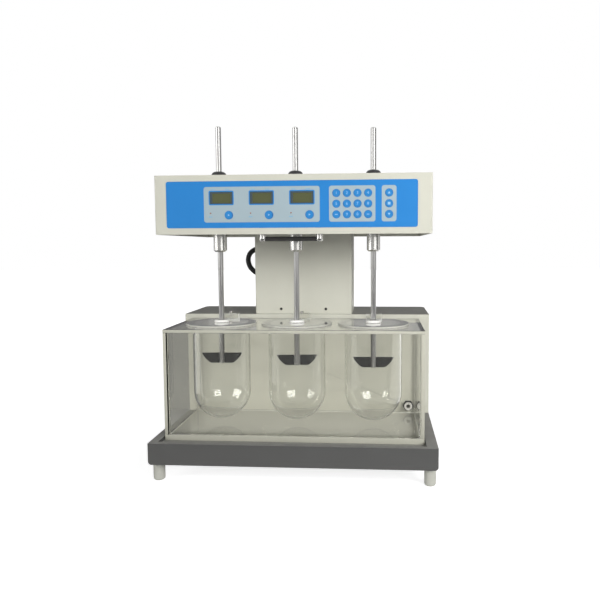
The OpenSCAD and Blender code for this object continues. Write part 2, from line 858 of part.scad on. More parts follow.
// The mast, with the spring's rod and piston under its flange
module lift_mast() {
    piston_r = spring_d / 2 - spring_wall - spring_piston_gap;
    rod_z = base_top + spring_len - spring_gland_h - spring_stroke_h;
    color("silver") translate([row_x, column_y, 0]) {
        translate([0, 0, flange_z - mast_len]) linear_extrude(mast_len) difference() {
            square([mast_w, mast_d], center = true);
            square([mast_w - 2 * mast_wall, mast_d - 2 * mast_wall], center = true);
        }
        translate([0, 0, flange_z]) linear_extrude(mast_flange_t)
            square([mast_w + 2 * mast_flange_w, mast_d + 2 * mast_flange_w], center = true);
        translate([0, 0, rod_z]) cylinder(d = spring_rod_d, h = flange_z - rod_z + cut);
        translate([0, 0, rod_z]) cylinder(r = piston_r, h = spring_piston_h);
    }
}

// Conduit: a round tube swept along its route

conduit_sides = 12;

function unit(v) = v / norm(v);
function route_dir(p, i) = unit(p[min(i + 1, len(p) - 1)] - p[max(i - 1, 0)]);
function ring(p, i) = let (t = route_dir(p, i), side = [0, 1, 0], up = cross(t, side))
    [for (k = [0:conduit_sides - 1]) let (a = 360 * k / conduit_sides)
        p[i] + conduit_r * (cos(a) * side + sin(a) * up)];

module conduit() {
    n = len(CONDUIT);
    m = conduit_sides;
    points = [for (i = [0:n - 1]) each ring(CONDUIT, i)];
    walls = [for (i = [0:n - 2], k = [0:m - 1]) let (a = i * m + k, b = i * m + (k + 1) % m)
        each [[a, b + m, b], [a, a + m, b + m]]];
    ends = [for (k = [1:m - 2]) each [[0, k, k + 1], [(n - 1) * m, (n - 1) * m + k + 1, (n - 1) * m + k]]];
    color("black") polyhedron(points, concat(walls, ends));
}

// Head

module head_box(margin, z0, z1) {
    translate([0, (head_y0 + head_y1) / 2, z0])
        round_box(head_w - 2 * margin, head_d - 2 * margin, z1 - z0, max(head_edge_r - margin, 0.5));
}

cap_spigot_d = 22;
cap_spigot_gap = 0.3;

module head_cover() {
    color("beige") difference() {
        head_box(0, head_z, head_top);
        head_box(head_wall, head_z - cut, head_top - head_wall);
        at_row() translate([0, 0, head_top - head_wall - cut])
            cylinder(d = cap_spigot_d + 2 * cap_spigot_gap, h = head_wall + 2 * cut);
        translate([panel_x, head_y0 + head_wall + cut, panel_z]) rotate([90, 0, 0])
            round_box(panel_w + 2 * sheet_gap, panel_h + 2 * sheet_gap, head_wall + 2 * cut, panel_corner_r);
    }
}

module shaft_caps() {
    r = cap_d / 2;
    bore_r = shaft_d / 2 + hub_gap;
    color("black") at_row() translate([0, 0, head_top]) rotate_extrude() difference() {
        union() {
            square([r, cap_h - cap_dome_r]);
            square([r - cap_dome_r, cap_h]);
            translate([r - cap_dome_r, cap_h - cap_dome_r]) intersection() {
                circle(cap_dome_r);
                square(cap_dome_r);
            }
            translate([0, -head_wall]) square([cap_spigot_d / 2, head_wall]);
        }
        translate([-cut, -head_wall - cut]) square([bore_r + cut, cap_h + head_wall + 2 * cut]);
    }
}

bearing_seat = 0.02;

module head_chassis() {
    bore_d = bearing_od + 2 * bearing_seat;
    color("silver") difference() {
        union() {
            head_box(head_wall + chassis_gap, chassis_z, deck_z);
            at_row() translate([0, 0, deck_z]) cylinder(d = bearing_od + 2 * housing_wall, h = housing_h);
            translate([conduit_x, conduit_y, chassis_z - collar_h])
                cylinder(r = conduit_r + collar_wall, h = collar_h);
        }
        at_row() {
            translate([0, 0, chassis_z - cut])
                cylinder(d = bearing_od - 4 * housing_shoulder, h = chassis_t + housing_h);
            translate([0, 0, deck_z]) cylinder(d = bore_d, h = bearing_w);
            translate([0, 0, deck_z + bearing_w])
                cylinder(d = bearing_od - 2 * housing_shoulder, h = housing_h);
            translate([0, 0, housing_top - bearing_w]) cylinder(d = bore_d, h = bearing_w + cut);
        }
        translate([conduit_x, conduit_y, chassis_z - collar_h - cut])
            cylinder(r = conduit_r + conduit_gap, h = collar_h + chassis_t + 2 * cut);
    }
}

module bearings() {
    color("lightgray") at_row() for (z = [deck_z, housing_top - bearing_w])
        translate([0, 0, z]) difference() {
            cylinder(d = bearing_od, h = bearing_w);
            translate([0, 0, -cut]) cylinder(d = spindle_d + 2 * running_fit, h = bearing_w + 2 * cut);
        }
}

module spindle(i) {
    color("silver") translate([row_place(i), row_y, 0]) difference() {
        union() {
            translate([0, 0, chuck_top - chuck_len + chuck_chamfer])
                cylinder(d = chuck_d, h = chuck_len - chuck_chamfer);
            translate([0, 0, chuck_top - chuck_len])
                cylinder(d1 = chuck_d - 2 * chuck_chamfer, d2 = chuck_d, h = chuck_chamfer);
            translate([0, 0, chuck_top - cut]) cylinder(d = spindle_d, h = spindle_top - chuck_top + cut);
            translate([0, 0, pulley_z]) cylinder(d = pulley_d, h = pulley_h);
        }
        translate([0, 0, chuck_top - chuck_len - cut])
            cylinder(d = shaft_d + 2 * running_fit, h = spindle_top - chuck_top + chuck_len + 2 * cut);
    }
}

module stirrer(i) {
    arc_z = sqrt(pow(blade_arc_r, 2) - pow(blade_bottom / 2, 2));
    color("gray") translate([row_place(i), row_y, blade_z(i)]) rotate([0, 0, STIRRER_TURN[i]]) {
        cylinder(d = shaft_d, h = stirrer_len - tip_chamfer);
        translate([0, 0, stirrer_len - tip_chamfer])
            cylinder(d1 = shaft_d, d2 = shaft_d - 2 * tip_chamfer, h = tip_chamfer);
        translate([0, blade_t / 2, 0]) rotate([90, 0, 0]) linear_extrude(blade_t) intersection() {
            translate([0, arc_z]) circle(blade_arc_r);
            translate([-blade_arc_r, 0]) square([2 * blade_arc_r, blade_h]);
        }
    }
}

// Belt drive

motor_socket = 14;
motor_shaft_gap = 1;
motor_top_gap = 4;
belt_gap = 0.3;

module drive_motor() {
    motor_h = housing_h - motor_top_gap;
    color("dimgray") translate([motor_x, motor_y, deck_z]) difference() {
        cylinder(d = motor_d, h = motor_h);
        translate([0, 0, motor_h - motor_socket])
            cylinder(d = motor_shaft_d + 2 * running_fit, h = motor_socket + cut);
    }
}

module motor_pulley() {
    shaft_z = housing_top - motor_top_gap - motor_socket + motor_shaft_gap;
    color("silver") translate([motor_x, motor_y, 0]) {
        translate([0, 0, pulley_z]) cylinder(d = motor_pulley_d, h = pulley_h);
        translate([0, 0, shaft_z]) cylinder(d = motor_shaft_d, h = pulley_z - shaft_z + cut);
    }
}

module belt_loop(grow) {
    hull() {
        for (i = [0, 2]) translate([row_place(i), row_y]) circle(d = pulley_d + 2 * grow, $fn = 48);
        translate([motor_x, motor_y]) circle(d = motor_pulley_d + 2 * grow, $fn = 48);
    }
}

module drive_belt() {
    color("black") translate([0, 0, pulley_z + (pulley_h - belt_h) / 2]) linear_extrude(belt_h) difference() {
        belt_loop(belt_gap + belt_t);
        belt_loop(belt_gap);
    }
}

// Front panel, displays and keys

module key_hole(x, z, d) {
    bar_y(x, z, d / 2 + key_gap, panel_y0 - cut, panel_y1 + cut);
}

module overlay_panel() {
    window_w = display_w + 2 * sheet_gap;
    window_h = display_h + 2 * sheet_gap;
    color("dodgerblue") difference() {
        translate([panel_x, panel_y1, panel_z]) rotate([90, 0, 0])
            round_box(panel_w, panel_h, panel_t, panel_corner_r);
        for (i = [0:2]) {
            block([display_place(i) - window_w / 2, panel_y0 - cut, panel_z + display_rise - window_h / 2],
                  [display_place(i) + window_w / 2, panel_y1 + cut, panel_z + display_rise + window_h / 2]);
            key_hole(display_place(i) + display_key_dx, key_row_z(2), display_key_d);
        }
        for (r = [0:2]) {
            for (c = [0:3]) key_hole(pad_x(c), key_row_z(r), key_d);
            key_hole(arrow_x, key_row_z(r), key_d);
        }
    }
}

module displays() {
    color("darkolivegreen") for (i = [0:2])
        block([display_place(i) - display_w / 2, panel_y0, panel_z + display_rise - display_h / 2],
              [display_place(i) + display_w / 2, board_y0, panel_z + display_rise + display_h / 2]);
}

module control_board() {
    half_w = panel_w / 2 - board_margin;
    board_z0 = deck_z + board_rise;
    board_z1 = panel_z + panel_h / 2 - board_margin;
    color("darkgreen") {
        block([panel_x - half_w, board_y0, board_z0], [panel_x + half_w, board_y0 + board_t, board_z1]);
        for (x = [-1, 1], z = [board_z0 + board_spacer_d, board_z1 - board_spacer_d])
            bar_y(panel_x + x * (half_w - board_spacer_d), z, board_spacer_d / 2,
                  panel_y1, board_y0 + board_t / 2);
    }
}

module key(x, z, d) {
    flange_y = panel_y1 + key_seat;
    bar_y(x, z, d / 2, panel_y0 - key_proud, flange_y + key_flange_t);
    bar_y(x, z, d / 2 + key_flange_w, flange_y, flange_y + key_flange_t);
}

module pad_key(r, c) {
    color("steelblue") key(pad_x(c), key_row_z(r), key_d);
}

module arrow_key(r) {
    color("steelblue") key(arrow_x, key_row_z(r), key_d);
}

module display_key(i) {
    color("steelblue") key(display_place(i) + display_key_dx, key_row_z(2), display_key_d);
}

// Handle under the head's front

grip_y = head_y0 + grip_setback;
grip_z = head_z - grip_drop;
post_x = handle_w / 2 - post_d / 2;
bracket_foot_t = 3;
bracket_foot_d = 26;

module handle_brackets() {
    color("silver") for (s = [-1, 1]) translate([row_x + s * post_x, grip_y, 0]) difference() {
        union() {
            translate([0, 0, grip_z]) sphere(d = post_d);
            translate([0, 0, grip_z]) cylinder(d = post_d, h = chassis_z - grip_z);
            translate([-post_d / 2, -bracket_foot_d / 2, chassis_z - bracket_foot_t])
                cube([post_d, bracket_foot_d, bracket_foot_t]);
        }
        translate([s > 0 ? -post_d : 0, 0, grip_z]) rotate([0, 90, 0])
            cylinder(d = grip_d + 2 * running_fit, h = post_d);
    }
}

module handle_grip() {
    color("black") translate([row_x - post_x, grip_y, grip_z]) rotate([0, 90, 0])
        cylinder(d = grip_d, h = 2 * post_x);
}

base_tray();
feet();
bath_tank();
bath_top_plate();
clamp_blocks();
clamp_knobs();
circulation_port();
port_nut();
rear_front_panel();
rear_cover();
column_shell();
mast_guides();
gas_spring_body();
circulation_heater();
power_inlet();
power_rocker();
conduit();
head_cover();
head_chassis();
overlay_panel();
displays();
control_board();
handle_brackets();
handle_grip();
shaft_caps();
bearings();
drive_motor();
motor_pulley();
drive_belt();
lift_mast();
for (i = [0:2]) {
    vessel(i);
    spindle(i);
    stirrer(i);
    lid(i);
    display_key(i);
    arrow_key(i);
}
for (r = [0:2], c = [0:3])
    pad_key(r, c);
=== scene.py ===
import math

import bmesh
import bpy
from mathutils import Matrix, Vector


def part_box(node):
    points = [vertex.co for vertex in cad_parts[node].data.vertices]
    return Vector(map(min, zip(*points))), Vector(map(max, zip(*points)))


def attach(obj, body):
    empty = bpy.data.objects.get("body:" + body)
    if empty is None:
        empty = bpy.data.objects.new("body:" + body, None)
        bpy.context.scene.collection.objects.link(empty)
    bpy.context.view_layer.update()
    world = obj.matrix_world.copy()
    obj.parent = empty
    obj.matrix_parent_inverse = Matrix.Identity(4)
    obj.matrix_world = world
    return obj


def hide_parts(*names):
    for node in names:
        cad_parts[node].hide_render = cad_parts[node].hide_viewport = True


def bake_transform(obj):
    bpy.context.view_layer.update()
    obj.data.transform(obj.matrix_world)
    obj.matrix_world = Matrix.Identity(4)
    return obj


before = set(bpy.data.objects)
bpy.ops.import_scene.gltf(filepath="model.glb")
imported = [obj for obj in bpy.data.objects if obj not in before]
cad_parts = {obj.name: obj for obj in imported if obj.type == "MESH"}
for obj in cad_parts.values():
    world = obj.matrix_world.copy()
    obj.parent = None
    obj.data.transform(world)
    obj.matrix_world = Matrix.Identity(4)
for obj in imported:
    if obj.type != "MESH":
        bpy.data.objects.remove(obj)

bl_info = {
    "name": "Dissolution tester finishes",
    "version": (1, 0, 0),
    "blender": (4, 5, 0),
    "location": "3D View > Sidebar > Tester",
    "description": "Dresses the packed solids of a three-vessel dissolution tester",
    "category": "Object",
}

SIDES = ("left", "middle", "right")
PAD_KEYS = [f"key_{row}_{column}" for row in ("top", "mid", "low") for column in range(1, 5)]
ARROW_KEYS = ("key_up", "key_stop", "key_down")
DISPLAY_KEYS = [f"display_key_{side}" for side in SIDES]
LIDS = [f"lid_{side}" for side in SIDES]
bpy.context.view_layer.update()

ACRYLIC_BEND, GLASS_BEND = 1.49, 1.47
DISPLAY_WIDTH = 0.04
LEGEND_DEPTH = 0.00006

# Middle line of the cable loop behind the column, from the rear housing up to the head
CONDUIT_Y = 0.158
CONDUIT_LINE = [(x, CONDUIT_Y, z) for x, z in (
    (0.030046, 0.266), (0.030046, 0.28157), (0.028957, 0.297584), (0.022027, 0.312656),
    (0.005989, 0.32396), (-0.017969, 0.330711), (-0.047966, 0.334793), (-0.080042, 0.338404),
    (-0.10796, 0.343428), (-0.127958, 0.35167), (-0.140234, 0.364152), (-0.144491, 0.380009),
    (-0.139541, 0.394767), (-0.126077, 0.403794), (-0.10598, 0.408112), (-0.077963, 0.409368),
    (-0.047966, 0.409289), (-0.019949, 0.409604), (0.00292, 0.410938), (0.01381, 0.413686),
    (0.022423, 0.419259), (0.027967, 0.427423), (0.030046, 0.436529), (0.030046, 0.451),
)]


# Settings

def colour_setting(name, description, value):
    return bpy.props.FloatVectorProperty(
        name=name, description=description, default=value, subtype="COLOR", size=3, min=0, max=1)


def length_setting(name, description, value):
    return bpy.props.FloatProperty(
        name=name, description=description, default=value, unit="LENGTH", min=0, precision=5)


def share_setting(name, description, value):
    return bpy.props.FloatProperty(
        name=name, description=description, default=value, subtype="FACTOR", min=0, max=1)


def power_setting(name, description, value):
    return bpy.props.FloatProperty(name=name, description=description, default=value, unit="POWER", min=0)


class TesterFinishes(bpy.types.PropertyGroup):
    """Colours of the tester's surfaces"""
    beige: colour_setting("Beige coat", "Powder coat of head, column and front sheet", (0.66, 0.655, 0.565))
    grey: colour_setting("Grey coat", "Powder coat of base tray and rear cover", (0.102, 0.102, 0.099))
    panel: colour_setting("Panel blue", "Printed front panel", (0.026, 0.235, 0.62))
    field: colour_setting("Field grey", "Printed fields round displays and keys", (0.395, 0.495, 0.54))
    key: colour_setting("Key blue", "Moulded keys", (0.032, 0.25, 0.62))
    legend: colour_setting("Legend", "Numbers and arrows on the keys", (0.34, 0.58, 0.82))
    display: colour_setting("Display", "Liquid-crystal windows", (0.088, 0.098, 0.037))
    steel: colour_setting("Steel", "Stirrer shafts", (0.48, 0.475, 0.465))
    blade: colour_setting("Blade", "Coated paddle blades", (0.014, 0.0144, 0.0136))
    acrylic: colour_setting("Acrylic", "Clear sheets of the bath", (0.972, 0.97, 0.945))
    glass: colour_setting("Glass", "Vessels", (0.985, 0.987, 0.978))
    feet: colour_setting("Feet", "Moulded feet", (0.56, 0.56, 0.5))
    grain: length_setting("Coat grain", "Size of the grain in the powder coat", 0.0011)


class TesterDetails(bpy.types.PropertyGroup):
    """Sizes of the pieces that are added to the solids"""
    print_depth: length_setting("Print thickness", "Thickness of the printed fields", 0.00012)
    field_margin: length_setting("Field margin", "Keys to the edge of their field", 0.0058)
    display_margin: length_setting("Display margin", "Displays to the end of their field", 0.0105)
    field_corner: length_setting("Field corner", "Corner radius of the fields", 0.0042)
    outline: length_setting("Display outline", "Width of the line round each display", 0.0019)
    legend_height: length_setting("Legend height", "Height of the numbers on the keys", 0.0046)
    conduit: length_setting("Cable diameter", "Diameter of the cable behind the column", 0.011)
    screw_head: length_setting("Screw head", "Head diameter of the case screws", 0.0054)
    soft_edge: length_setting("Sheet edge", "Edge radius of the folded sheets", 0.0009)
    acrylic_edge: length_setting("Acrylic edge", "Broken edge of the clear sheets", 0.0005)


class TesterStage(bpy.types.PropertyGroup):
    """Floor and light"""
    floor: colour_setting("Floor", "Pale floor", (0.86, 0.86, 0.86))
    ambient: share_setting("Ambient", "Level of the light from all round", 0.08)
    right_power: power_setting("Right softbox", "Power of the right softbox", 17)
    left_power: power_setting("Left softbox", "Power of the left softbox", 9)
    fill_power: power_setting("Front fill", "Power of the wide lamp behind the camera", 11)
    back_power: power_setting("Back fill", "Power of the wide lamp behind the tester", 10)
    plate_power: power_setting("Plate bounce", "Light that the bath's plate throws on the column", 0.04)
    bath_power: power_setting("Bath scatter", "Light that the clear sheets scatter into the bath", 0.066)


# Meshes

def node_box(*names):
    """Lowest and highest corner of these solids together"""
    boxes = [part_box(name) for name in names]
    low = Vector(min(box[0][i] for box in boxes) for i in range(3))
    high = Vector(max(box[1][i] for box in boxes) for i in range(3))
    return low, high


def keep_mesh(name, shape, material, body, smooth_angle=35):
    """Turns a bmesh into a piece that rides on a body"""
    bmesh.ops.recalc_face_normals(shape, faces=shape.faces)
    limit = math.radians(smooth_angle)
    for face in shape.faces:
        face.smooth = True
    for edge in shape.edges:
        edge.smooth = len(edge.link_faces) == 2 and edge.calc_face_angle(0) < limit
    mesh = bpy.data.meshes.new(name)
    shape.to_mesh(mesh)
    shape.free()
    mesh.materials.append(material)
    piece = bpy.data.objects.new(name, mesh)
    bpy.context.scene.collection.objects.link(piece)
    if body:
        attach(piece, body)
    return piece


def bridge_rings(shape, rings, hollow=False):
    """Skins a row of closed rings of equally many points, with caps, or back to the first ring"""
    count = len(rings[0])
    made = [[shape.verts.new(point) for point in ring] for ring in rings]
    for low, high in zip(made, made[1:] + made[:1] if hollow else made[1:]):
        for i in range(count):
            j = (i + 1) % count
            shape.faces.new((low[i], low[j], high[j], high[i]))
    if not hollow:
        shape.faces.new(list(reversed(made[0])))
        shape.faces.new(made[-1])


def hexagon(across_flats):
    """Distance from the middle of a hexagon to its edge, as a function of the angle"""
    def reach(angle):
        return across_flats / 2 / math.cos((angle + math.pi / 6) % (math.pi / 3) - math.pi / 6)
    return reach


def turned(shape, profile, place, axis, steps=48, hollow=False):
    """Skins a turned form: profile holds (radius or function of the angle, height along the axis)"""
    along = Vector(axis).normalized()
    side = along.orthogonal().normalized()
    other = along.cross(side)
    rings = []
    for radius, height in profile:
        ring = []
        for i in range(steps):
            angle = 2 * math.pi * i / steps
            reach = radius(angle) if callable(radius) else radius
            ring.append(Vector(place) + along * height
                        + (side * math.cos(angle) + other * math.sin(angle)) * reach)
        rings.append(ring)
    bridge_rings(shape, rings, hollow)


def rounded_outline(low_x, high_x, low_z, high_z, radius, steps=8):
    """Points of a rectangle with round corners, in the plane of the front panel"""
    corners = ((high_x - radius, high_z - radius, 0), (low_x + radius, high_z - radius, 90),
               (low_x + radius, low_z + radius, 180), (high_x - radius, low_z + radius, 270))
    points = []
    for x, z, start in corners:
        for i in range(steps + 1):
            angle = math.radians(start + 90 * i / steps)
            points.append((x + radius * math.cos(angle), z + radius * math.sin(angle)))
    return points


def circle_outline(x, z, radius, steps=48):
    return [(x + radius * math.cos(2 * math.pi * i / steps), z + radius * math.sin(2 * math.pi * i / steps))
            for i in range(steps)]


def front_plate(shape, outline, holes, back_y, front_y):
    """A thin plate that faces the front, with holes through it"""
    edges = []
    for loop in (outline, *holes):
        points = [shape.verts.new((x, back_y, z)) for x, z in loop]
        edges += [shape.edges.new((points[i], points[i - 1])) for i in range(len(points))]
    filled = bmesh.ops.triangle_fill(shape, edges=edges, use_beauty=True, normal=(0, -1, 0))
    faces = [item for item in filled["geom"] if isinstance(item, bmesh.types.BMFace)]
    grown = bmesh.ops.extrude_face_region(shape, geom=faces)
    moved = [item for item in grown["geom"] if isinstance(item, bmesh.types.BMVert)]
    bmesh.ops.translate(shape, verts=moved, vec=(0, front_y - back_y, 0))


def block(shape, low, high, edge):
    """A block with broken edges"""
    made = bmesh.ops.create_cube(shape, size=1)["verts"]
    for vert in made:
        vert.co = Vector((low[i] if vert.co[i] < 0 else high[i]) for i in range(3))
    if edge:
        edges = list({e for vert in made for e in vert.link_edges})
        bmesh.ops.bevel(shape, geom=edges, offset=edge, segments=2, profile=0.5, affect="EDGES")


def smooth_line(points, per_span=6):
    """A curve through the points"""
    points = [Vector(p) for p in points]
    line = []
    for i in range(len(points) - 1):
        a, b, c, d = (points[max(i - 1, 0)], points[i], points[i + 1], points[min(i + 2, len(points) - 1)])
        for step in range(per_span):
            t = step / per_span
            line.append(((2 * b) + (c - a) * t + (2 * a - 5 * b + 4 * c - d) * t * t
                         + (3 * b - a - 3 * c + d) * t ** 3) / 2)
    return line + [points[-1]]


def sweep(shape, line, radius, sides):
    """A round tube along a line"""
    rings = []
    ahead = (line[1] - line[0]).normalized()
    side = ahead.orthogonal().normalized()
    for i, point in enumerate(line):
        to = (line[min(i + 1, len(line) - 1)] - line[max(i - 1, 0)]).normalized()
        side = (ahead.rotation_difference(to) @ side).normalized()
        ahead = to
        other = ahead.cross(side)
        rings.append([point + (side * math.cos(a) + other * math.sin(a)) * radius
                      for a in (2 * math.pi * k / sides for k in range(sides))])
    bridge_rings(shape, rings)


def soften(width, *names):
    """Breaks the sharp edges of solids, as a modifier"""
    for name in names:
        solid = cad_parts[name]
        weld = solid.modifiers.new("Joined corners", "WELD")
        weld.merge_threshold = 1e-6
        bevel = solid.modifiers.new("Broken edges", "BEVEL")
        bevel.width = width
        bevel.segments = 2
        bevel.limit_method = "ANGLE"
        bevel.angle_limit = math.radians(50)


def dress(material, *names):
    """Gives solids a finish"""
    for name in names:
        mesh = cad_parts[name].data
        mesh.materials.clear()
        mesh.materials.append(material)


def dress_clear(material, *names):
    """Gives clear solids a finish, and lets the lamps' light through them"""
    dress(material, *names)
    for name in names:
        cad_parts[name].visible_shadow = False


# Materials

def add(tree, kind, inputs=None, **settings):
    """Adds a shader node, and sets or links its inputs"""
    made = tree.nodes.new("ShaderNode" + kind)
    for name, value in settings.items():
        setattr(made, name, value)
    for name, value in (inputs or {}).items():
        if isinstance(value, bpy.types.NodeSocket):
            tree.links.new(value, made.inputs[name])
        else:
            made.inputs[name].default_value = value
    return made


def maths(tree, operation, *values):
    return add(tree, "Math", dict(enumerate(values)), operation=operation).outputs[0]


def blend_colours(tree, share, first, second):
    return add(tree, "Mix", {0: share, 6: first, 7: second}, data_type="RGBA").outputs[2]


def new_group(name, inputs, outputs):
    """An empty node group with named sockets: its tree, its inputs, and a function that ends it"""
    tree = bpy.data.node_groups.new(name, "ShaderNodeTree")
    for socket, kind, value in inputs:
        made = tree.interface.new_socket(name=socket, in_out="INPUT", socket_type="NodeSocket" + kind)
        made.default_value = value
    for socket, kind in outputs:
        tree.interface.new_socket(name=socket, in_out="OUTPUT", socket_type="NodeSocket" + kind)
    given = tree.nodes.new("NodeGroupInput").outputs
    end = tree.nodes.new("NodeGroupOutput").inputs

    def finish(**results):
        for socket, result in results.items():
            tree.links.new(result, end[socket])
        return tree
    return tree, given, finish


def coat_grain(name):
    """Mottled colour, uneven gloss and a fine orange-peel height"""
    tree, given, finish = new_group(
        name,
        (("Colour", "Color", (0.5, 0.5, 0.5, 1)), ("Grain", "Float", 0.001), ("Mottle", "Float", 0.05),
         ("Gloss", "Float", 0.4), ("Gloss Spread", "Float", 0.1)),
        (("Colour", "Color"), ("Roughness", "Float"), ("Height", "Float")))
    place = add(tree, "TexCoord").outputs["Object"]
    fine = add(tree, "TexNoise", {"Vector": place, "Scale": maths(tree, "DIVIDE", 1, given["Grain"]),
                                  "Detail": 2})
    broad = add(tree, "TexNoise", {"Vector": place, "Scale": 14, "Detail": 4, "Roughness": 0.6})
    cloud = maths(tree, "MULTIPLY", broad.outputs["Fac"], 0.65)
    speck = maths(tree, "MULTIPLY_ADD", fine.outputs["Fac"], 0.35, cloud)
    change = maths(tree, "MULTIPLY", maths(tree, "SUBTRACT", speck, 0.5), given["Mottle"])
    value = maths(tree, "ADD", 1, change)
    tinted = add(tree, "HueSaturation", {"Color": given["Colour"], "Value": value})
    rough = maths(tree, "MULTIPLY_ADD", maths(tree, "SUBTRACT", broad.outputs["Fac"], 0.5),
                  given["Gloss Spread"], given["Gloss"])
    return finish(Colour=tinted.outputs["Color"], Roughness=rough, Height=fine.outputs["Fac"])


def settled_dust_and_top_light(name):
    """Pale colour on the faces that look up: settled dust, and painted light from above where the amount is
    high
    """
    tree, given, finish = new_group(
        name,
        (("Colour", "Color", (0.5, 0.5, 0.5, 1)), ("Dust", "Color", (0.6, 0.59, 0.55, 1)),
         ("Amount", "Float", 0.1)),
        (("Colour", "Color"),))
    up = add(tree, "SeparateXYZ", {0: add(tree, "NewGeometry").outputs["Normal"]}).outputs["Z"]
    place = add(tree, "TexCoord").outputs["Object"]
    patches = add(tree, "TexNoise", {"Vector": place, "Scale": 38, "Detail": 5})
    lying = maths(tree, "POWER", maths(tree, "MAXIMUM", up, 0), 3)
    thick = maths(tree, "MULTIPLY_ADD", patches.outputs["Fac"], 0.3, 0.35)
    mask = maths(tree, "MULTIPLY", maths(tree, "MULTIPLY", lying, thick), given["Amount"])
    return finish(Colour=blend_colours(tree, mask, given["Colour"], given["Dust"]))


def edge_rub(name):
    """Lighter coat along edges that hands and cloths rub"""
    tree, given, finish = new_group(
        name,
        (("Colour", "Color", (0.5, 0.5, 0.5, 1)), ("Rubbed", "Color", (0.7, 0.7, 0.7, 1)),
         ("Amount", "Float", 0.3), ("Reach", "Float", 0.0015)),
        (("Colour", "Color"),))
    flat = add(tree, "NewGeometry").outputs["True Normal"]
    turned_in = add(tree, "Bevel", {"Radius": given["Reach"]}, samples=4).outputs["Normal"]
    same = add(tree, "VectorMath", {0: flat, 1: turned_in}, operation="DOT_PRODUCT").outputs["Value"]
    edge = add(tree, "MapRange", {"Value": same, "From Min": 0.995, "From Max": 0.8})
    place = add(tree, "TexCoord").outputs["Object"]
    broken = add(tree, "TexNoise", {"Vector": place, "Scale": 160, "Detail": 3})
    worn = maths(tree, "MULTIPLY", edge.outputs[0], broken.outputs["Fac"])
    mask = maths(tree, "MULTIPLY", worn, given["Amount"])
    return finish(Colour=blend_colours(tree, mask, given["Colour"], given["Rubbed"]))


def turned_lines(name):
    """Fine tool lines across an axis, and cloudy gloss"""
    tree, given, finish = new_group(
        name,
        (("Axis", "Vector", (0, 0, 1)), ("Pitch", "Float", 0.0004), ("Gloss", "Float", 0.15),
         ("Gloss Spread", "Float", 0.1)),
        (("Roughness", "Float"), ("Height", "Float"), ("Shade", "Float")))
    place = add(tree, "TexCoord").outputs["Object"]
    along = add(tree, "VectorMath", {0: place, 1: given["Axis"]}, operation="DOT_PRODUCT").outputs["Value"]
    step = maths(tree, "DIVIDE", along, given["Pitch"])
    lines = add(tree, "TexNoise", {"W": step, "Scale": 1, "Detail": 3}, noise_dimensions="1D").outputs["Fac"]
    cloud = add(tree, "TexNoise", {"Vector": place, "Scale": 60, "Detail": 4}).outputs["Fac"]
    both = maths(tree, "MULTIPLY_ADD", lines, 0.6, maths(tree, "MULTIPLY", cloud, 0.4))
    rough = maths(tree, "MULTIPLY_ADD", maths(tree, "SUBTRACT", both, 0.5),
                  given["Gloss Spread"], given["Gloss"])
    return finish(Roughness=rough, Height=lines, Shade=both)


def wiping_marks(name):
    """Faint wiping marks and water spots on clear sheets"""
    tree, given, finish = new_group(
        name,
        (("Gloss", "Float", 0.01), ("Marks", "Float", 0.05)),
        (("Roughness", "Float"), ("Height", "Float")))
    place = add(tree, "TexCoord").outputs["Object"]
    wiped = add(tree, "Mapping", {"Vector": place, "Rotation": (0.3, 0.5, 0.4), "Scale": (9, 60, 60)})
    smear = add(tree, "TexNoise", {"Vector": wiped.outputs[0], "Scale": 1.5, "Detail": 5}).outputs["Fac"]
    spots = add(tree, "TexVoronoi", {"Vector": place, "Scale": 90, "Randomness": 1}).outputs["Distance"]
    spot = add(tree, "MapRange", {"Value": spots, "From Min": 0.14, "From Max": 0.06}).outputs[0]
    dull = maths(tree, "MULTIPLY_ADD", spot, 0.25, maths(tree, "POWER", smear, 5))
    rough = maths(tree, "MULTIPLY_ADD", dull, given["Marks"], given["Gloss"])
    return finish(Roughness=rough, Height=smear)


def start_material(name):
    """A material with a Principled shader alone"""
    material = bpy.data.materials.new(name)
    material.use_nodes = True
    tree = material.node_tree
    tree.nodes.clear()
    shader = add(tree, "BsdfPrincipled")
    add(tree, "OutputMaterial", {"Surface": shader.outputs[0]})
    return material, tree, shader


def solid_colour(colour, share=1):
    """A colour with its alpha, darker or lighter by a share"""
    return (*(min(c * share, 1) for c in colour), 1)


def place_group(tree, name, build, inputs):
    """Places a node group in a material, and builds it the first time"""
    group = bpy.data.node_groups.get(name) or build(name)
    return add(tree, "Group", inputs, node_tree=group).outputs


def place_grain(tree, colour, grain, mottle, gloss, spread):
    """Grain of a coat over a colour, or over a socket that gives one"""
    if not isinstance(colour, bpy.types.NodeSocket):
        colour = solid_colour(colour)
    return place_group(tree, "Coat grain", coat_grain, {
        "Colour": colour, "Grain": grain, "Mottle": mottle, "Gloss": gloss, "Gloss Spread": spread})


def place_lines(tree, axis, pitch, gloss, spread):
    """Tool lines across an axis"""
    return place_group(tree, "Turned lines", turned_lines, {
        "Axis": axis, "Pitch": pitch, "Gloss": gloss, "Gloss Spread": spread})


def lay_dust_and_top_light(tree, colour, amount):
    """Dust, and painted light from above, over a socket that gives a colour"""
    return place_group(tree, "Settled dust", settled_dust_and_top_light, {"Colour": colour, "Amount": amount})["Colour"]


def wire_surface(tree, shader, colour, rough):
    tree.links.new(colour, shader.inputs["Base Color"])
    tree.links.new(rough, shader.inputs["Roughness"])


def raise_surface(tree, shader, height, depth, strength):
    bump = add(tree, "Bump", {"Height": height, "Distance": depth, "Strength": strength})
    tree.links.new(bump.outputs[0], shader.inputs["Normal"])


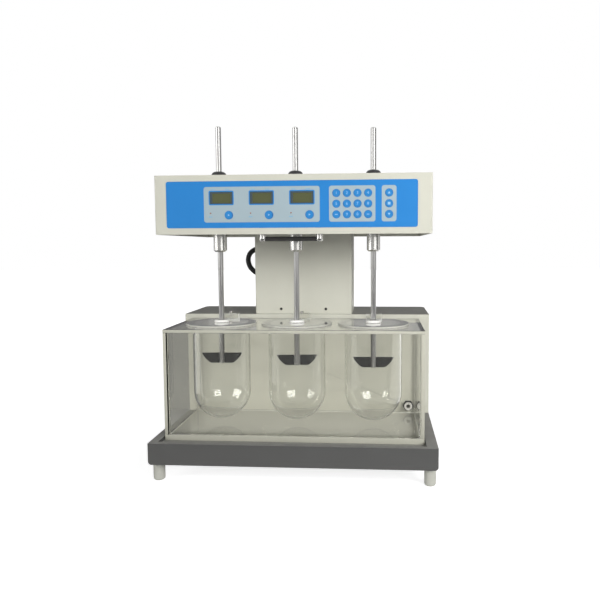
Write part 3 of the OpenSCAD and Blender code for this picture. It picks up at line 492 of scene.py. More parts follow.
def coated_metal(name, colour, grain, gloss, dust=0.08, depth=0.00003, specular=0.5):
    """Powder-coated sheet"""
    material, tree, shader = start_material(name)
    shader.inputs["Specular IOR Level"].default_value = specular
    coat = place_grain(tree, colour, grain, 0.16, gloss, 0.16)
    paler = [c + (1 - c) * 0.45 for c in colour]
    rubbed = place_group(tree, "Edge rub", edge_rub, {
        "Colour": coat["Colour"], "Rubbed": solid_colour(paler), "Amount": 0.35})
    wire_surface(tree, shader, lay_dust_and_top_light(tree, rubbed["Colour"], dust), coat["Roughness"])
    raise_surface(tree, shader, coat["Height"], depth, 0.5)
    return material


def moulded(name, colour, gloss, grain=0.0006, dust=0.04):
    """Moulded plastic or rubber"""
    material, tree, shader = start_material(name)
    skin = place_grain(tree, colour, grain, 0.2, gloss, 0.2)
    wire_surface(tree, shader, lay_dust_and_top_light(tree, skin["Colour"], dust), skin["Roughness"])
    raise_surface(tree, shader, skin["Height"], 0.00002, 0.5)
    return material


def bare_metal(name, colour, gloss, pitch=0.0004, axis=(0, 0, 1), spread=0.1, depth=0.000004):
    """Turned, drawn or plated metal"""
    material, tree, shader = start_material(name)
    lines = place_lines(tree, axis, pitch, gloss, spread)
    shade = blend_colours(tree, lines["Shade"], solid_colour(colour, 0.88), solid_colour(colour, 1.08))
    wire_surface(tree, shader, shade, lines["Roughness"])
    shader.inputs["Metallic"].default_value = 1
    raise_surface(tree, shader, lines["Height"], depth, 0.4)
    return material


def clear_material(name, colour, bend, marks, frost=0, haze=0):
    """Clear sheet or glass, frosted or hazy or not"""
    material, tree, shader = start_material(name)
    shader.inputs["Transmission Weight"].default_value = 1 - haze
    shader.inputs["IOR"].default_value = bend
    shader.inputs["Base Color"].default_value = solid_colour(colour)
    wiped = place_group(tree, "Wiping marks", wiping_marks, {"Gloss": frost, "Marks": marks})
    tree.links.new(wiped["Roughness"], shader.inputs["Roughness"])
    raise_surface(tree, shader, wiped["Height"], 0.00002, 0.15)
    return material


def paint_top_shadow(material, colour, level):
    """Lays a painted shadow colour over a finish, above a level"""
    tree = material.node_tree
    target = tree.nodes["Principled BSDF"].inputs["Base Color"]
    under = target.links[0].from_socket
    place = add(tree, "SeparateXYZ", {0: add(tree, "TexCoord").outputs["Object"]}).outputs["Z"]
    mask = maths(tree, "GREATER_THAN", place, level)
    tree.links.new(blend_colours(tree, mask, under, solid_colour(colour)), target)
    return material


def finishes():
    return bpy.context.scene.tester_finishes


def details():
    return bpy.context.scene.tester_details


def plated_chrome():
    """Finish of chucks and handle brackets, made once"""
    return bpy.data.materials.get("Bright chrome") or bare_metal(
        "Bright chrome", (0.7, 0.692, 0.665), 0.24, 0.0007, spread=0.04, depth=0.0000004)


def black_moulding():
    """Finish of glands, nut, inlet and heater, made once"""
    return bpy.data.materials.get("Black moulding") or moulded("Black moulding", (0.018, 0.018, 0.019), 0.42)


# Operators

class Undoable:
    """What all the tester's operators share"""
    bl_options = {"REGISTER", "UNDO"}


class TESTER_OT_camera(Undoable, bpy.types.Operator):
    """Places the camera in front of the tester, a little to its right"""
    bl_idname = "tester.camera"
    bl_label = "Camera"

    def execute(self, context):
        yaw, pitch, roll = (math.radians(a) for a in (-3.98, 4.59, -0.24))
        ahead = Vector((math.sin(yaw) * math.cos(pitch), math.cos(yaw) * math.cos(pitch), -math.sin(pitch)))
        level = Vector((math.cos(yaw), -math.sin(yaw), 0))
        upright = level.cross(ahead)
        right = level * math.cos(roll) + upright * math.sin(roll)
        up = upright * math.cos(roll) - level * math.sin(roll)
        lens = bpy.data.cameras.new("Front camera")
        lens.sensor_fit = "HORIZONTAL"
        lens.sensor_width = 36
        lens.lens = 36.594
        lens.shift_x, lens.shift_y = -0.0635, -0.00917
        lens.clip_start, lens.clip_end = 0.02, 60
        camera = bpy.data.objects.new("Front camera", lens)
        turn = Matrix((right, up, -ahead)).transposed().to_4x4()
        place = Matrix.Translation((0.152, -1.1984, 0.411))
        camera.matrix_world = place @ turn
        context.scene.collection.objects.link(camera)
        context.scene.camera = camera
        return {"FINISHED"}


class TESTER_OT_conduit(Undoable, bpy.types.Operator):
    """Makes the black cable behind the column and its two glands"""
    bl_idname = "tester.conduit"
    bl_label = "Cable and glands"

    def execute(self, context):
        sheath = moulded("Cable sheath", (0.009, 0.009, 0.0094), 0.6, 0.0008, dust=0.02)
        line = smooth_line(CONDUIT_LINE)
        shape = bmesh.new()
        sweep(shape, line, details().conduit / 2, 28)
        cable = keep_mesh("conduit_sheath", shape, sheath, None, 60)
        low = line[0]
        shelf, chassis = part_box("rear_cover")[1][2], 0.437
        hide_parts("conduit")
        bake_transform(cable)
        for name, body, base, way in (("gland_low", "frame", shelf, 1), ("gland_high", "head", chassis, -1)):
            self.gland(name, body, (low.x, low.y, base), way)
        return {"FINISHED"}

    def gland(self, name, body, place, way):
        """A hexagon nut with a rounded neck round the cable"""
        bore = details().conduit / 2 + 0.0002
        nut = hexagon(0.0185)
        profile = ((bore, 0.0001), (0.0086, 0.0001), (nut, 0.0009), (nut, 0.0052), (0.0088, 0.0062),
                   (0.0082, 0.0066), (0.0078, 0.009), (0.0066, 0.0108), (bore + 0.0006, 0.0112),
                   (bore, 0.0106))
        shape = bmesh.new()
        turned(shape, profile, place, (0, 0, way), 60, True)
        keep_mesh(name, shape, black_moulding(), body, 30)


class TESTER_OT_stage(Undoable, bpy.types.Operator):
    """Makes the pale floor, the white surround, the lamps and the cards that metal and glass reflect"""
    bl_idname = "tester.stage"
    bl_label = "Floor and light"

    def execute(self, context):
        stage = context.scene.tester_stage
        context.scene.view_settings.view_transform = "Standard"
        self.surround(context, stage.ambient)
        self.floor(stage.floor)
        self.softbox("Right softbox", 42, 21, 1.7, (0.8, 0.7), stage.right_power)
        self.softbox("Left softbox", -56, 13, 2.0, (0.8, 0.9), stage.left_power)
        self.softbox("Front fill", 4, 13, 2.4, (1.7, 0.8), stage.fill_power)
        self.softbox("Back fill", 168, 12, 2.4, (1.8, 0.8), stage.back_power)
        low, high = node_box("bath_tank")
        width, middle = high.x - low.x, (low + high) / 2
        self.sheet_glow("Plate bounce", (middle.x, low.y, high.z + 0.018), (width, 0.02), (0, 1, 0.18),
                        stage.plate_power, 70)
        self.sheet_glow("Bath scatter", (middle.x, low.y + 0.01, middle.z + 0.01), (width - 0.03, 0.16),
                        (0, 1, 0), stage.bath_power, 75)
        self.card("Right glow", self.arc(1.55, 19, 55), 0.45, 1.5, 4, through=26)
        self.card("Left glow", self.arc(1.9, -78, -42), 0.35, 1.4, 4, through=26)
        self.card("Front card", self.arc(2.8, -54, 54), 0, 2.6, 0.55)
        self.card("Left card", self.arc(2.7, -96, -54), 0, 2.6, 0.22)
        self.card("Right card", self.arc(2.7, 54, 96), 0, 2.6, 0.22)
        back = self.card("Back card", ((-1.3, 0.75), (1.3, 0.75)), 0.24, 1.1, 0.24)
        back.visible_transmission = False
        beside, ground = ((-0.7, 0.24), (-0.262, 0.24)), 0.002
        self.card("Side card", beside, ground, 0.46, 0.19)
        self.card("Side floor card", beside, ground, ground, 0.24, lean=0.45)
        self.card("Floor card", ((-2.2, -0.3), (2.2, -0.3)), ground, ground, 0.05, lean=2.4, through=0.42)
        return {"FINISHED"}

    def arc(self, reach, start, end):
        """Points of an arc round the tester, in degrees from the front"""
        angles = [math.radians(start + (end - start) * i / 8) for i in range(9)]
        return [(reach * math.sin(a), -reach * math.cos(a)) for a in angles]

    def seen_share(self, tree):
        """1 on rays that show the surround itself, straight on or by metal and glass"""
        path = add(tree, "LightPath").outputs
        seen = maths(tree, "MAXIMUM", path["Is Camera Ray"],
                     maths(tree, "MAXIMUM", path["Is Glossy Ray"], path["Is Transmission Ray"]))
        return maths(tree, "MULTIPLY", seen, maths(tree, "LESS_THAN", path["Diffuse Depth"], 0.5))

    def surround(self, context, ambient):
        """White where it is seen, and a low light from all round"""
        world = bpy.data.worlds.new("White surround")
        world.use_nodes = True
        tree = world.node_tree
        tree.nodes.clear()
        level = maths(tree, "MULTIPLY_ADD", self.seen_share(tree), 1 - ambient, ambient)
        light = add(tree, "Background", {"Color": (1, 1, 1, 1), "Strength": level})
        add(tree, "OutputWorld", {"Surface": light.outputs[0]})
        context.scene.world = world

    def floor(self, colour):
        """Pale floor that is seen as white away from the tester and keeps its shadow"""
        material, tree, shader = start_material("Pale floor")
        grain = place_grain(tree, colour, 0.002, 0.03, 0.8, 0.1)
        wire_surface(tree, shader, grain["Colour"], grain["Roughness"])
        place = add(tree, "TexCoord").outputs["Object"]
        away = add(tree, "VectorMath", {0: place}, operation="LENGTH").outputs["Value"]
        lift = add(tree, "MapRange", {"Value": away, "From Min": 0.5, "From Max": 1.8, "To Min": 0.8})
        level = maths(tree, "MULTIPLY", self.seen_share(tree), lift.outputs[0])
        white = add(tree, "Emission", {"Color": (1, 1, 1, 1), "Strength": level})
        both = add(tree, "AddShader", {0: shader.outputs[0], 1: white.outputs[0]})
        tree.links.new(both.outputs[0], tree.nodes["Material Output"].inputs["Surface"])
        material.cycles.emission_sampling = "NONE"
        shape = bmesh.new()
        bmesh.ops.create_grid(shape, x_segments=8, y_segments=8, size=9)
        keep_mesh("Floor", shape, material, None)

    def lamp(self, name, size, power, place, back):
        """A rectangular lamp that no reflection shows, with its back to a direction"""
        light = bpy.data.lights.new(name, "AREA")
        light.shape = "RECTANGLE"
        light.size, light.size_y = size
        light.energy = power
        light.cycles.use_multiple_importance_sampling = False
        lamp = bpy.data.objects.new(name, light)
        lamp.location = place
        lamp.rotation_euler = back.to_track_quat("Z", "Y").to_euler()
        lamp.visible_glossy = lamp.visible_transmission = False
        bpy.context.scene.collection.objects.link(lamp)
        return lamp

    def softbox(self, name, azimuth, elevation, distance, size, power):
        """A lamp round the tester, by its angles in degrees from the front and from the floor"""
        a, e = math.radians(azimuth), math.radians(elevation)
        away = Vector((math.sin(a) * math.cos(e), -math.cos(a) * math.cos(e), math.sin(e)))
        self.lamp(name, size, power, Vector((0, -0.05, 0.22)) + away * distance, away)

    def sheet_glow(self, name, place, size, aim, power, spread):
        """A lamp in place of the light that a clear sheet mirrors or scatters"""
        glow = self.lamp(name, size, power, place, -Vector(aim))
        glow.data.spread = math.radians(spread)
        glow.visible_camera = False

    def card(self, name, line, low, high, shade, lean=0, through=None):
        """A card over a line on the floor, upright or leaning to the front, which only metal and glass
        show, with another shade through glass. Rays from a matt surface meet the ambient light there"""
        material = bpy.data.materials.new(name)
        material.use_nodes = True
        tree = material.node_tree
        tree.nodes.clear()
        ambient = bpy.context.scene.tester_stage.ambient
        path = add(tree, "LightPath").outputs
        matt = maths(tree, "GREATER_THAN", path["Diffuse Depth"], 0.5)
        level = shade if through is None else maths(
            tree, "MULTIPLY_ADD", path["Is Transmission Ray"], through - shade, shade)
        level = add(tree, "Mix", {0: matt, 2: level, 3: ambient}).outputs[0]
        light = add(tree, "Emission", {"Color": (1, 1, 1, 1), "Strength": level})
        add(tree, "OutputMaterial", {"Surface": light.outputs[0]})
        material.cycles.emission_sampling = "NONE"
        shape = bmesh.new()
        rows = [[shape.verts.new((x, y - out, z)) for x, y in line]
                for z, out in ((low, 0), (high, lean))]
        for i in range(len(line) - 1):
            shape.faces.new((rows[0][i], rows[0][i + 1], rows[1][i + 1], rows[1][i]))
        card = keep_mesh(name, shape, material, None)
        card.visible_camera = card.visible_diffuse = False
        card.visible_shadow = card.visible_volume_scatter = False
        return card


class TESTER_OT_case(Undoable, bpy.types.Operator):
    """Coats the base tray, rear housing, column and head"""
    bl_idname = "tester.case"
    bl_label = "Coated case"

    def execute(self, context):
        soften(details().soft_edge, "head_cover", "column_shell", "rear_front_panel", "rear_cover")
        grain = finishes().grain
        beige = coated_metal("Beige powder coat", finishes().beige, grain, 0.4)
        # On the grey coat the high pale amount is mostly painted light: faces that look up are paled as if
        # lit from above, with a little real dust
        grey = coated_metal("Grey powder coat", finishes().grey, grain * 1.4, 0.54, dust=0.9, depth=0.00005,
                            specular=0.32)
        milled = bare_metal("Milled aluminium", (0.42, 0.42, 0.41), 0.42, 0.0009, (1, 0, 0), 0.2)
        dress(beige, "head_cover", "column_shell", "rear_front_panel")
        dress(grey, "base_tray", "rear_cover")
        dress(milled, "head_chassis")
        return {"FINISHED"}


class TESTER_OT_feet(Undoable, bpy.types.Operator):
    """Finishes the four feet, with a painted shadow along their tops"""
    bl_idname = "tester.feet"
    bl_label = "Feet"

    def execute(self, context):
        top = node_box("feet")[1].z
        cream = moulded("Cream moulding with painted shadow", finishes().feet, 0.5, 0.0009, dust=0.1)
        # The dark band over the top 4.2 mm of each foot is painted shadow, the shade under the base tray's
        # edge
        dress(paint_top_shadow(cream, (0.03, 0.03, 0.028), top - 0.0042), "feet")
        return {"FINISHED"}


class TESTER_OT_bath(Undoable, bpy.types.Operator):
    """Finishes the clear bath, its plate, clamps and lids, and adds bushes, bonded joints and cream strips on
    the cut edges that paint the rear panel as the edges refract it
    """
    bl_idname = "tester.bath"
    bl_label = "Water bath"

    def execute(self, context):
        colour = finishes().acrylic
        dress_clear(clear_material("Clear bath sheet", colour, ACRYLIC_BEND, 0.07), "bath_tank")
        dress_clear(clear_material("Clear plate", colour, ACRYLIC_BEND, 0.08, 0, 0.04), "bath_top_plate")
        dress_clear(clear_material("Clear lid", colour, ACRYLIC_BEND, 0.08, 0.02, 0.22), *LIDS)
        milky = clear_material("Milky block", (0.93, 0.93, 0.89), ACRYLIC_BEND, 0.1, 0.42)
        dress_clear(milky, "clamp_blocks")
        soften(details().acrylic_edge, "bath_tank", "bath_top_plate", "clamp_blocks")
        dress(bare_metal("Nickelled brass", (0.62, 0.61, 0.57), 0.25, 0.0005), "clamp_knobs")
        low, high = node_box("bath_tank")
        wall, floor_top = 0.008, low.z + 0.01
        self.painted_edge_refraction(low, high, floor_top)
        self.bonded_joints(low, high, wall, floor_top)
        self.floor_backing(low, high)
        white = moulded("White bush", (0.93, 0.92, 0.88), 0.45, 0.0005)
        rim = self.cream_sheet("Lid rim", (0.5, 0.495, 0.44), (0.62, 0.615, 0.55))
        for lid, side in zip(LIDS, SIDES):
            self.bush(lid, side, white)
            self.rim(lid, side, rim)
        return {"FINISHED"}

    def cream_sheet(self, name, dark, pale):
        """Sawn, bonded or turned acrylic, with faint lines across it"""
        material, tree, shader = start_material(name)
        lines = place_lines(tree, (0.7, 0.2, 0.7), 0.0012, 0.38, 0.2)
        shade = blend_colours(tree, lines["Shade"], solid_colour(dark), solid_colour(pale))
        wire_surface(tree, shader, shade, lines["Roughness"])
        raise_surface(tree, shader, lines["Height"], 0.00003, 0.5)
        return material

    def painted_edge_refraction(self, low, high, floor_top):
        """Strips on the sawn edges of the sheets; their cream colour is painted light, the beige rear panel
        as the edges refract it
        """
        material = self.cream_sheet("Sawn edge painted refraction", (0.5, 0.495, 0.41), (0.64, 0.63, 0.54))
        under, over = node_box("bath_top_plate")
        film, off, edge = 0.00012, 0.00004, 0.0055
        front, bottom = low.y - off, low.z + 0.0003
        sill, brim = floor_top + 0.0006, high.z - 0.0004
        plate_low, plate_high = under.z + 0.0004, over.z - 0.0006
        strips = [
            ((low.x, front - film, bottom), (high.x, front, floor_top)),
            ((low.x, front - film, sill), (low.x + edge, front, brim)),
            ((high.x - edge, front - film, sill), (high.x, front, brim)),
            ((under.x, front - film, plate_low), (over.x, front, plate_high)),
        ]
        for a, b, z0, z1 in ((under, over, plate_low, plate_high), (low, high, bottom, floor_top)):
            strips += [((a.x - off - film, a.y, z0), (a.x - off, b.y, z1)),
                       ((b.x + off, a.y, z0), (b.x + off + film, b.y, z1))]
        shape = bmesh.new()
        for corner, other in strips:
            block(shape, corner, other, 0.00003)
        keep_mesh("bath_edge_painted_refraction", shape, material, "frame")

    def bonded_joints(self, low, high, wall, floor_top):
        """Cloudy adhesive between the sheets"""
        material = self.cream_sheet("Bonding adhesive", (0.72, 0.715, 0.63), (0.84, 0.835, 0.75))
        near, far, film, gap, bead = 0.00002, 0.00008, 0.0001, 0.0002, 0.0012
        inner = (low.x + wall + film, high.x - wall - film)
        shape = bmesh.new()
        for x0, x1, y0, y1 in ((low.x, low.x + wall, low.y, high.y), (high.x - wall, high.x, low.y, high.y),
                               (*inner, low.y, low.y + wall), (*inner, high.y - wall, high.y)):
            block(shape, (x0 + far, y0 + far, floor_top + near), (x1 - far, y1 - far, floor_top + far), 0)
        for x in (low.x + wall, high.x - wall - film):
            for y in (low.y, high.y - wall):
                block(shape, (x + near, y + far, floor_top + gap), (x + far, y + wall - far, high.z - gap), 0)
        left, right = inner[0] + near, inner[1] - near
        front, back = low.y + wall + gap, high.y - wall - near
        for x0, x1, y0 in ((left, left + bead, front), (right - bead, right, front),
                           (left + bead, right - bead, back - bead)):
            block(shape, (x0, y0, floor_top + near), (x1, back, floor_top + bead), 0.0004)
        keep_mesh("bath_bonds", shape, material, "frame")

    def floor_backing(self, low, high):
        """Pale protective film on the underside of the bath's floor"""
        material = self.cream_sheet("Floor film", (0.78, 0.775, 0.69), (0.86, 0.855, 0.77))
        shape = bmesh.new()
        inset, under, over = 0.001, low.z + 0.00004, low.z + 0.0001
        block(shape, (low.x + inset, low.y + inset, under), (high.x - inset, high.y - inset, over), 0)
        keep_mesh("bath_floor_film", shape, material, "frame")

    def rim(self, lid, side, material):
        """Matt turned edge of a lid"""
        low, high = node_box(lid)
        middle = (low + high) / 2
        inner = (high.x - low.x) / 2 + 0.00004
        outer = inner + 0.0001
        bottom, top = high.z - 0.0037, high.z - 0.0013
        shape = bmesh.new()
        turned(shape, ((inner, bottom), (outer, bottom), (outer, top), (inner, top)),
               (middle.x, middle.y, 0), (0, 0, 1), 96, True)
        keep_mesh(f"lid_rim_{side}", shape, material, lid)

    def bush(self, lid, side, material):
        """White bush pressed over a lid's hub, with a collar on top of the lid"""
        low, high = node_box(lid)
        middle = (low + high) / 2
        off, skin = 0.00005, 0.0003
        tip, root, under = 0.011 + off, 0.016 + off, high.z - 0.0041
        sleeve = ((tip, low.z), (tip + skin, low.z), (root + skin, under), (root, under))
        bore, reach, tall, edge = 0.0057, 0.0138, 0.0038, 0.0008
        collar = ((bore, off), (reach, off), (reach, tall - edge), (reach - edge, tall),
                  (bore + 0.0005, tall), (bore, tall - 0.0005))
        shape = bmesh.new()
        turned(shape, sleeve, (middle.x, middle.y, 0), (0, 0, 1), 64, True)
        turned(shape, collar, (middle.x, middle.y, high.z), (0, 0, 1), 64, True)
        keep_mesh(f"lid_bush_{side}", shape, material, lid)


class TESTER_OT_vessels(Undoable, bpy.types.Operator):
    """Finishes the three round-bottomed vessels"""
    bl_idname = "tester.vessels"
    bl_label = "Vessels"

    def execute(self, context):
        glass = clear_material("Vessel glass", finishes().glass, GLASS_BEND, 0.03)
        dress_clear(glass, *[f"vessel_{side}" for side in SIDES])
        return {"FINISHED"}


class TESTER_OT_stirrers(Undoable, bpy.types.Operator):
    """Finishes the stirrers, chucks and shaft guides"""
    bl_idname = "tester.stirrers"
    bl_label = "Stirrers"

    def execute(self, context):
        for side in SIDES:
            dress(self.shaft_and_blade(side), f"stirrer_{side}")
        dress(plated_chrome(), *[f"spindle_{side}" for side in SIDES])
        dress(moulded("Black guide rubber", (0.016, 0.016, 0.017), 0.38, 0.0012), "shaft_caps")
        return {"FINISHED"}

    def shaft_and_blade(self, side):
        """Bright shaft, dark coat on what stands further out than the shaft"""
        low, high = node_box(f"stirrer_{side}")
        middle = (low + high) / 2
        material, tree, shader = start_material(f"Shaft and blade {side}")
        shader.inputs["Specular IOR Level"].default_value = 0.1
        place = add(tree, "TexCoord").outputs["Object"]
        flat = add(tree, "VectorMath", {0: place, 1: (1, 1, 0)}, operation="MULTIPLY").outputs[0]
        out = add(tree, "VectorMath", {0: flat, 1: (middle.x, middle.y, 0)}, operation="DISTANCE")
        blade = maths(tree, "GREATER_THAN", out.outputs["Value"], (high.y - low.y) / 2 + 0.0001)
        lines = place_lines(tree, (0, 0, 1), 0.0006, 0.3, 0.05)
        coat = place_grain(tree, finishes().blade, 0.0008, 0.2, 0.5, 0.15)
        colour = finishes().steel
        steel = blend_colours(tree, lines["Shade"], solid_colour(colour, 0.85), solid_colour(colour, 1.1))
        rough = add(tree, "Mix", {0: blade, 2: lines["Roughness"], 3: coat["Roughness"]}).outputs[0]
        wire_surface(tree, shader, blend_colours(tree, blade, steel, coat["Colour"]), rough)
        tree.links.new(maths(tree, "SUBTRACT", 1, blade), shader.inputs["Metallic"])
        raise_surface(tree, shader, lines["Height"], 0.0000005, 0.2)
        return material


class TESTER_OT_front_panel(Undoable, bpy.types.Operator):
    """Finishes the blue panel and displays, and adds the printed fields, outlines and lamps"""
    bl_idname = "tester.front_panel"
    bl_label = "Front panel"

    def execute(self, context):
        sizes = details()
        face = node_box("overlay_panel")[0].y
        dress(self.printed_sheet("Blue panel sheet", finishes().panel, 0.36), "overlay_panel")
        dress(self.display_window(), "displays")
        field = self.printed_sheet("Grey printed field", finishes().field, 0.42)
        pad_low, pad_high = node_box(*PAD_KEYS)
        low_z, high_z = pad_low.z - sizes.field_margin, pad_high.z + sizes.field_margin
        windows = [self.window(i, sizes.outline) for i in range(3)]
        shape = bmesh.new()
        for ends, margin, keys, openings in (
                (["displays"], sizes.display_margin, DISPLAY_KEYS, windows),
                (PAD_KEYS, sizes.field_margin, PAD_KEYS, []),
                (ARROW_KEYS, sizes.field_margin, ARROW_KEYS, [])):
            low, high = node_box(*ends)
            edge = rounded_outline(low.x - margin, high.x + margin, low_z, high_z, sizes.field_corner)
            holes = [self.key_hole(key) for key in keys] + openings
            front_plate(shape, edge, holes, face, face - sizes.print_depth)
        keep_mesh("printed_fields", shape, field, "head")
        self.outlines(face, sizes)
        self.lamps_and_marks(face - sizes.print_depth)
        return {"FINISHED"}

    def printed_sheet(self, name, colour, gloss):
        """Matt printed plastic sheet"""
        material, tree, shader = start_material(name)
        skin = place_grain(tree, colour, 0.0004, 0.07, gloss, 0.12)
        wire_surface(tree, shader, skin["Colour"], skin["Roughness"])
        raise_surface(tree, shader, skin["Height"], 0.00001, 0.4)
        return material

    def display_window(self):
        """Olive window with a faint grid of cells under gloss"""
        material, tree, shader = start_material("Display window")
        place = add(tree, "TexCoord").outputs["Object"]
        axes = add(tree, "SeparateXYZ", {0: place}).outputs
        upright = add(tree, "CombineXYZ", {"X": axes["X"], "Y": axes["Z"]}).outputs[0]
        colour, cell = finishes().display, 0.0009
        cells = add(tree, "TexBrick", {
            "Vector": upright, "Scale": 1, "Brick Width": cell, "Row Height": cell, "Mortar Size": 0.00008,
            "Color1": solid_colour(colour), "Color2": solid_colour(colour, 1.06),
            "Mortar": solid_colour(colour, 0.82)}, offset=0)
        skin = place_grain(tree, cells.outputs["Color"], 0.004, 0.12, 0.25, 0.1)
        wire_surface(tree, shader, skin["Colour"], skin["Roughness"])
        shader.inputs["Coat Weight"].default_value = 0.4
        return material

    def key_hole(self, key):
        """Outline of the hole round a key"""
        low, high = node_box(key)
        return circle_outline((low.x + high.x) / 2, (low.z + high.z) / 2, (high.x - low.x) / 2 + 0.0003)

    def window_left(self, i):
        """Left end of a display"""
        low, high = node_box("displays")
        return low.x + i * (high.x - low.x - DISPLAY_WIDTH) / 2

    def window(self, i, grow):
        """Outline of a display, grown on all sides"""
        low, high = node_box("displays")
        left = self.window_left(i)
        return rounded_outline(left - grow, left + DISPLAY_WIDTH + grow, low.z - grow, high.z + grow,
                               0.0006 + grow, 4)

    def outlines(self, face, sizes):
        """A blue line round each display, and a dark frame over its edge"""
        bright = self.printed_sheet("Bright outline", finishes().panel, 0.4)
        dark = moulded("Display frame", (0.055, 0.075, 0.085), 0.4, 0.0005)
        low, high = node_box("displays")
        ring, bezel = bmesh.new(), bmesh.new()
        for i in range(3):
            front_plate(ring, self.window(i, sizes.outline - 0.00002), [self.window(i, 0)], face,
                        face - sizes.print_depth)
            left = self.window_left(i)
            glass = rounded_outline(left + 0.0046, left + DISPLAY_WIDTH - 0.0032,
                                    low.z + 0.0017, high.z - 0.0028, 0.0004, 4)
            front_plate(bezel, self.window(i, -0.00004), [glass], face - 0.00002, face - 0.0003)
        keep_mesh("display_outlines", ring, bright, "head")
        keep_mesh("display_frames", bezel, dark, "head")

    def lamps_and_marks(self, top):
        """A small lamp by each display key, and short plain bars above and below"""
        lamp = moulded("Lamp lens", (0.42, 0.2, 0.14), 0.25, 0.0005)
        ink = self.printed_sheet("Pale blue print", (0.27, 0.47, 0.62), 0.42)
        dome = ((0.0012, -0.0001), (0.0012, 0.0003), (0.00105, 0.0007), (0.0006, 0.00095), (0.0002, 0.001))
        above = node_box("displays")[1].z + 0.0036
        half, corner, depth = 0.001, 0.0006, 0.00005
        lenses, bars = bmesh.new(), bmesh.new()
        for i, key in enumerate(DISPLAY_KEYS):
            low, high = node_box(key)
            x, z = (low.x + high.x) / 2 - 0.032, (low.z + high.z) / 2 + 0.0033
            turned(lenses, dome, (x, top, z), (0, -1, 0), 24)
            left = self.window_left(i)
            for middle, width, level in ((left + 0.0055, 0.0075, above), (left + 0.0305, 0.0085, above),
                                         (x, 0.0068, z - 0.0062)):
                bar = rounded_outline(middle - width / 2, middle + width / 2,
                                      level - half, level + half, corner, 3)
                front_plate(bars, bar, [], top, top - depth)
        keep_mesh("panel_lamps", lenses, lamp, "head", 60)
        keep_mesh("panel_marks", bars, ink, "head")


class TESTER_OT_keys(Undoable, bpy.types.Operator):
    """Finishes the keys and puts plain numbers and arrows on them"""
    bl_idname = "tester.keys"
    bl_label = "Keys"

    def execute(self, context):
        blue = moulded("Blue key", finishes().key, 0.36, 0.0005, dust=0.02)
        dress(blue, *PAD_KEYS, *ARROW_KEYS, *DISPLAY_KEYS)
        ink = moulded("Pale legend", finishes().legend, 0.45, 0.0004, dust=0)
        size = details().legend_height
        wide, thin, tall = size / 2, size / 9, size * 0.48
        for key, mark in zip(PAD_KEYS, "12345678-90-"):
            if mark == "-":
                self.sign(key, [(-wide, -thin), (wide, -thin), (wide, thin), (-wide, thin)], ink)
            else:
                self.number(key, mark, size, ink)
        self.sign("key_up", [(-tall, -tall * 0.8), (tall, -tall * 0.8), (0, tall)], ink)
        self.sign("key_stop", [(-tall, -tall), (tall, -tall), (tall, tall), (-tall, tall)], ink)
        self.sign("key_down", [(-tall, tall * 0.8), (0, -tall), (tall, tall * 0.8)], ink)
        for key in DISPLAY_KEYS:
            self.sign(key, [(-tall * 0.6, -tall * 0.8), (tall * 0.8, 0), (-tall * 0.6, tall * 0.8)], ink)
        return {"FINISHED"}

    def middle(self, key):
        """Middle of a key's face"""
        low, high = node_box(key)
        return (low.x + high.x) / 2, low.y, (low.z + high.z) / 2

    def sign(self, key, outline, ink):
        """A flat sign on a key"""
        x, face, z = self.middle(key)
        shape = bmesh.new()
        front_plate(shape, [(x + a, z + b) for a, b in outline], [], face, face - LEGEND_DEPTH)
        keep_mesh(f"{key}_legend", shape, ink, key)

    def number(self, key, mark, size, ink):
        """A number on a key, as tall as size"""
        x, face, z = self.middle(key)
        half = LEGEND_DEPTH / 2
        letter = bpy.data.curves.new(f"{key}_outline", "FONT")
        letter.body = mark
        letter.size = size / 0.7
        letter.extrude = half
        letter.resolution_u = 6
        letter.align_x, letter.align_y = "CENTER", "CENTER"
        drawn = bpy.data.objects.new(letter.name, letter)
        mesh = drawn.to_mesh()
        shape = bmesh.new()
        shape.from_mesh(mesh)
        drawn.to_mesh_clear()
        bpy.data.objects.remove(drawn)
        bpy.data.curves.remove(letter)
        bmesh.ops.remove_doubles(shape, verts=shape.verts, dist=1e-7)
        for vert in shape.verts:
            a, b, c = vert.co
            vert.co = (x + a, face - half - c, z + b)
        keep_mesh(f"{key}_legend", shape, ink, key)


class TESTER_OT_handle(Undoable, bpy.types.Operator):
    """Finishes the bar handle"""
    bl_idname = "tester.handle"
    bl_label = "Handle"

    def execute(self, context):
        dress(plated_chrome(), "handle_brackets")
        dress(moulded("Grip black", (0.042, 0.041, 0.04), 0.36, 0.0009), "handle_grip")
        return {"FINISHED"}


class TESTER_OT_fasteners(Undoable, bpy.types.Operator):
    """Adds the case screws of column, head and rear housing"""
    bl_idname = "tester.fasteners"
    bl_label = "Case screws"

    def execute(self, context):
        black = bare_metal("Blackened steel", (0.07, 0.068, 0.065), 0.34, 0.0003, (0, 1, 0))
        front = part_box("column_shell")[0][1]
        column = [((x, front, 0.282), (0, -1, 0)) for x in (-0.051, 0.041)]
        low, high = node_box("rear_cover")
        near, far, foot = low.y + 0.03, high.y - 0.025, low.z + 0.02
        rear = [((x, *place), (way, 0, 0)) for x, way in ((low.x, -1), (high.x, 1))
                for place in ((near, foot), (far, foot), (far, low.z + 0.17))]
        low, high = node_box("head_cover")
        head = [((x, y, low.z + 0.02), (way, 0, 0)) for x, way in ((low.x, -1), (high.x, 1))
                for y in (low.y + 0.06, high.y - 0.06)]
        for name, body, screws in (("column_screws", "frame", column), ("rear_screws", "frame", rear),
                                   ("head_screws", "head", head)):
            shape = bmesh.new()
            for place, axis in screws:
                self.screw(shape, place, axis)
            keep_mesh(name, shape, black, body, 30)
        return {"FINISHED"}

    def screw(self, shape, place, axis):
        """A button head with a hexagon socket"""
        reach = details().screw_head / 2
        socket = hexagon(reach * 0.9)
        profile = ((reach * 0.96, -0.0001), (reach, 0.0002), (reach * 0.97, 0.0009), (reach * 0.84, 0.0015),
                   (reach * 0.66, 0.0018), (socket, 0.0018), (socket, 0.0006), (reach * 0.1, 0.0004))
        turned(shape, profile, place, axis, 36)


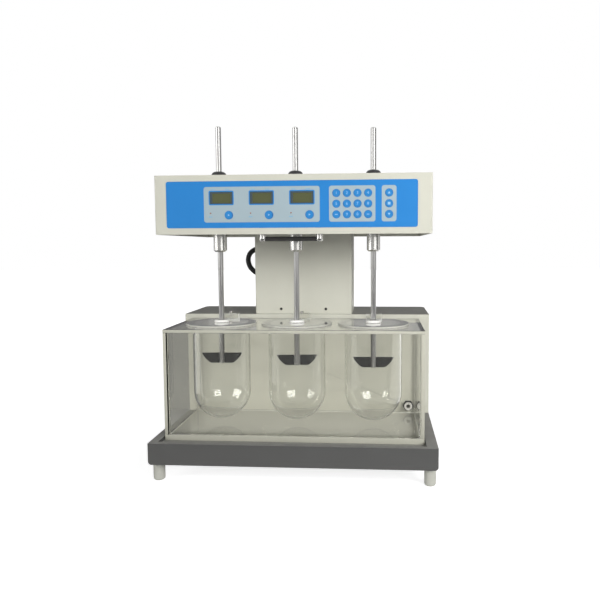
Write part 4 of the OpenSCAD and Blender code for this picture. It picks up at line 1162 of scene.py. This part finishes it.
class TESTER_OT_fittings(Undoable, bpy.types.Operator):
    """Finishes the circulation port, its nut, the power inlet and its rocker"""
    bl_idname = "tester.fittings"
    bl_label = "Port and power inlet"

    def execute(self, context):
        dress(moulded("White moulding", (0.66, 0.65, 0.6), 0.4), "circulation_port", "mast_guides")
        dress(black_moulding(), "port_nut", "power_inlet", "circulation_heater")
        dress(moulded("Red moulding", (0.42, 0.025, 0.02), 0.34), "power_rocker")
        return {"FINISHED"}


class TESTER_OT_drive(Undoable, bpy.types.Operator):
    """Finishes the pieces inside head and column"""
    bl_idname = "tester.drive"
    bl_label = "Inner pieces"

    def execute(self, context):
        dress(coated_metal("Black coat", (0.03, 0.03, 0.032), 0.0009, 0.45), "gas_spring_body", "drive_motor")
        dress(bare_metal("Ground steel", (0.52, 0.52, 0.5), 0.26, 0.0005), "bearings", "lift_mast")
        dress(bare_metal("Turned aluminium", (0.6, 0.6, 0.59), 0.3, 0.0006), "motor_pulley")
        dress(moulded("Belt rubber", (0.02, 0.02, 0.021), 0.6, 0.0007), "drive_belt")
        dress(self.circuit_board(), "control_board")
        return {"FINISHED"}

    def circuit_board(self):
        """Green board with paler tracks"""
        material, tree, shader = start_material("Circuit board")
        place = add(tree, "TexCoord").outputs["Object"]
        tracks = add(tree, "TexBrick", {
            "Vector": add(tree, "Mapping", {"Vector": place, "Rotation": (math.pi / 2, 0, 0)}).outputs[0],
            "Scale": 1, "Brick Width": 0.011, "Row Height": 0.0024, "Mortar Size": 0.0004,
            "Color1": (0.012, 0.1, 0.04, 1), "Color2": (0.016, 0.13, 0.05, 1),
            "Mortar": (0.03, 0.2, 0.08, 1)})
        skin = place_grain(tree, tracks.outputs["Color"], 0.002, 0.15, 0.35, 0.15)
        wire_surface(tree, shader, skin["Colour"], skin["Roughness"])
        return material


OPERATORS = (
    TESTER_OT_camera, TESTER_OT_conduit, TESTER_OT_stage, TESTER_OT_case, TESTER_OT_feet, TESTER_OT_bath,
    TESTER_OT_vessels, TESTER_OT_stirrers, TESTER_OT_front_panel, TESTER_OT_keys, TESTER_OT_handle,
    TESTER_OT_fasteners, TESTER_OT_fittings, TESTER_OT_drive,
)
SETTINGS = {"tester_finishes": TesterFinishes, "tester_details": TesterDetails, "tester_stage": TesterStage}


class TESTER_PT_panel(bpy.types.Panel):
    """Lists the tester's settings and operators"""
    bl_idname = "TESTER_PT_panel"
    bl_label = "Dissolution tester"
    bl_space_type = "VIEW_3D"
    bl_region_type = "UI"
    bl_category = "Tester"

    def draw(self, context):
        for group, kind in SETTINGS.items():
            for name in kind.__annotations__:
                self.layout.prop(getattr(context.scene, group), name)
        for operator in OPERATORS:
            self.layout.operator(operator.bl_idname)


CLASSES = (*SETTINGS.values(), *OPERATORS, TESTER_PT_panel)


def register():
    for item in CLASSES:
        bpy.utils.register_class(item)
    for name, group in SETTINGS.items():
        setattr(bpy.types.Scene, name, bpy.props.PointerProperty(type=group))


def unregister():
    for name in SETTINGS:
        delattr(bpy.types.Scene, name)
    for item in reversed(CLASSES):
        bpy.utils.unregister_class(item)


def main():
    register()
    for operator in OPERATORS:
        group, name = operator.bl_idname.split(".")
        getattr(getattr(bpy.ops, group), name)()


if __name__ == "__main__":
    main()
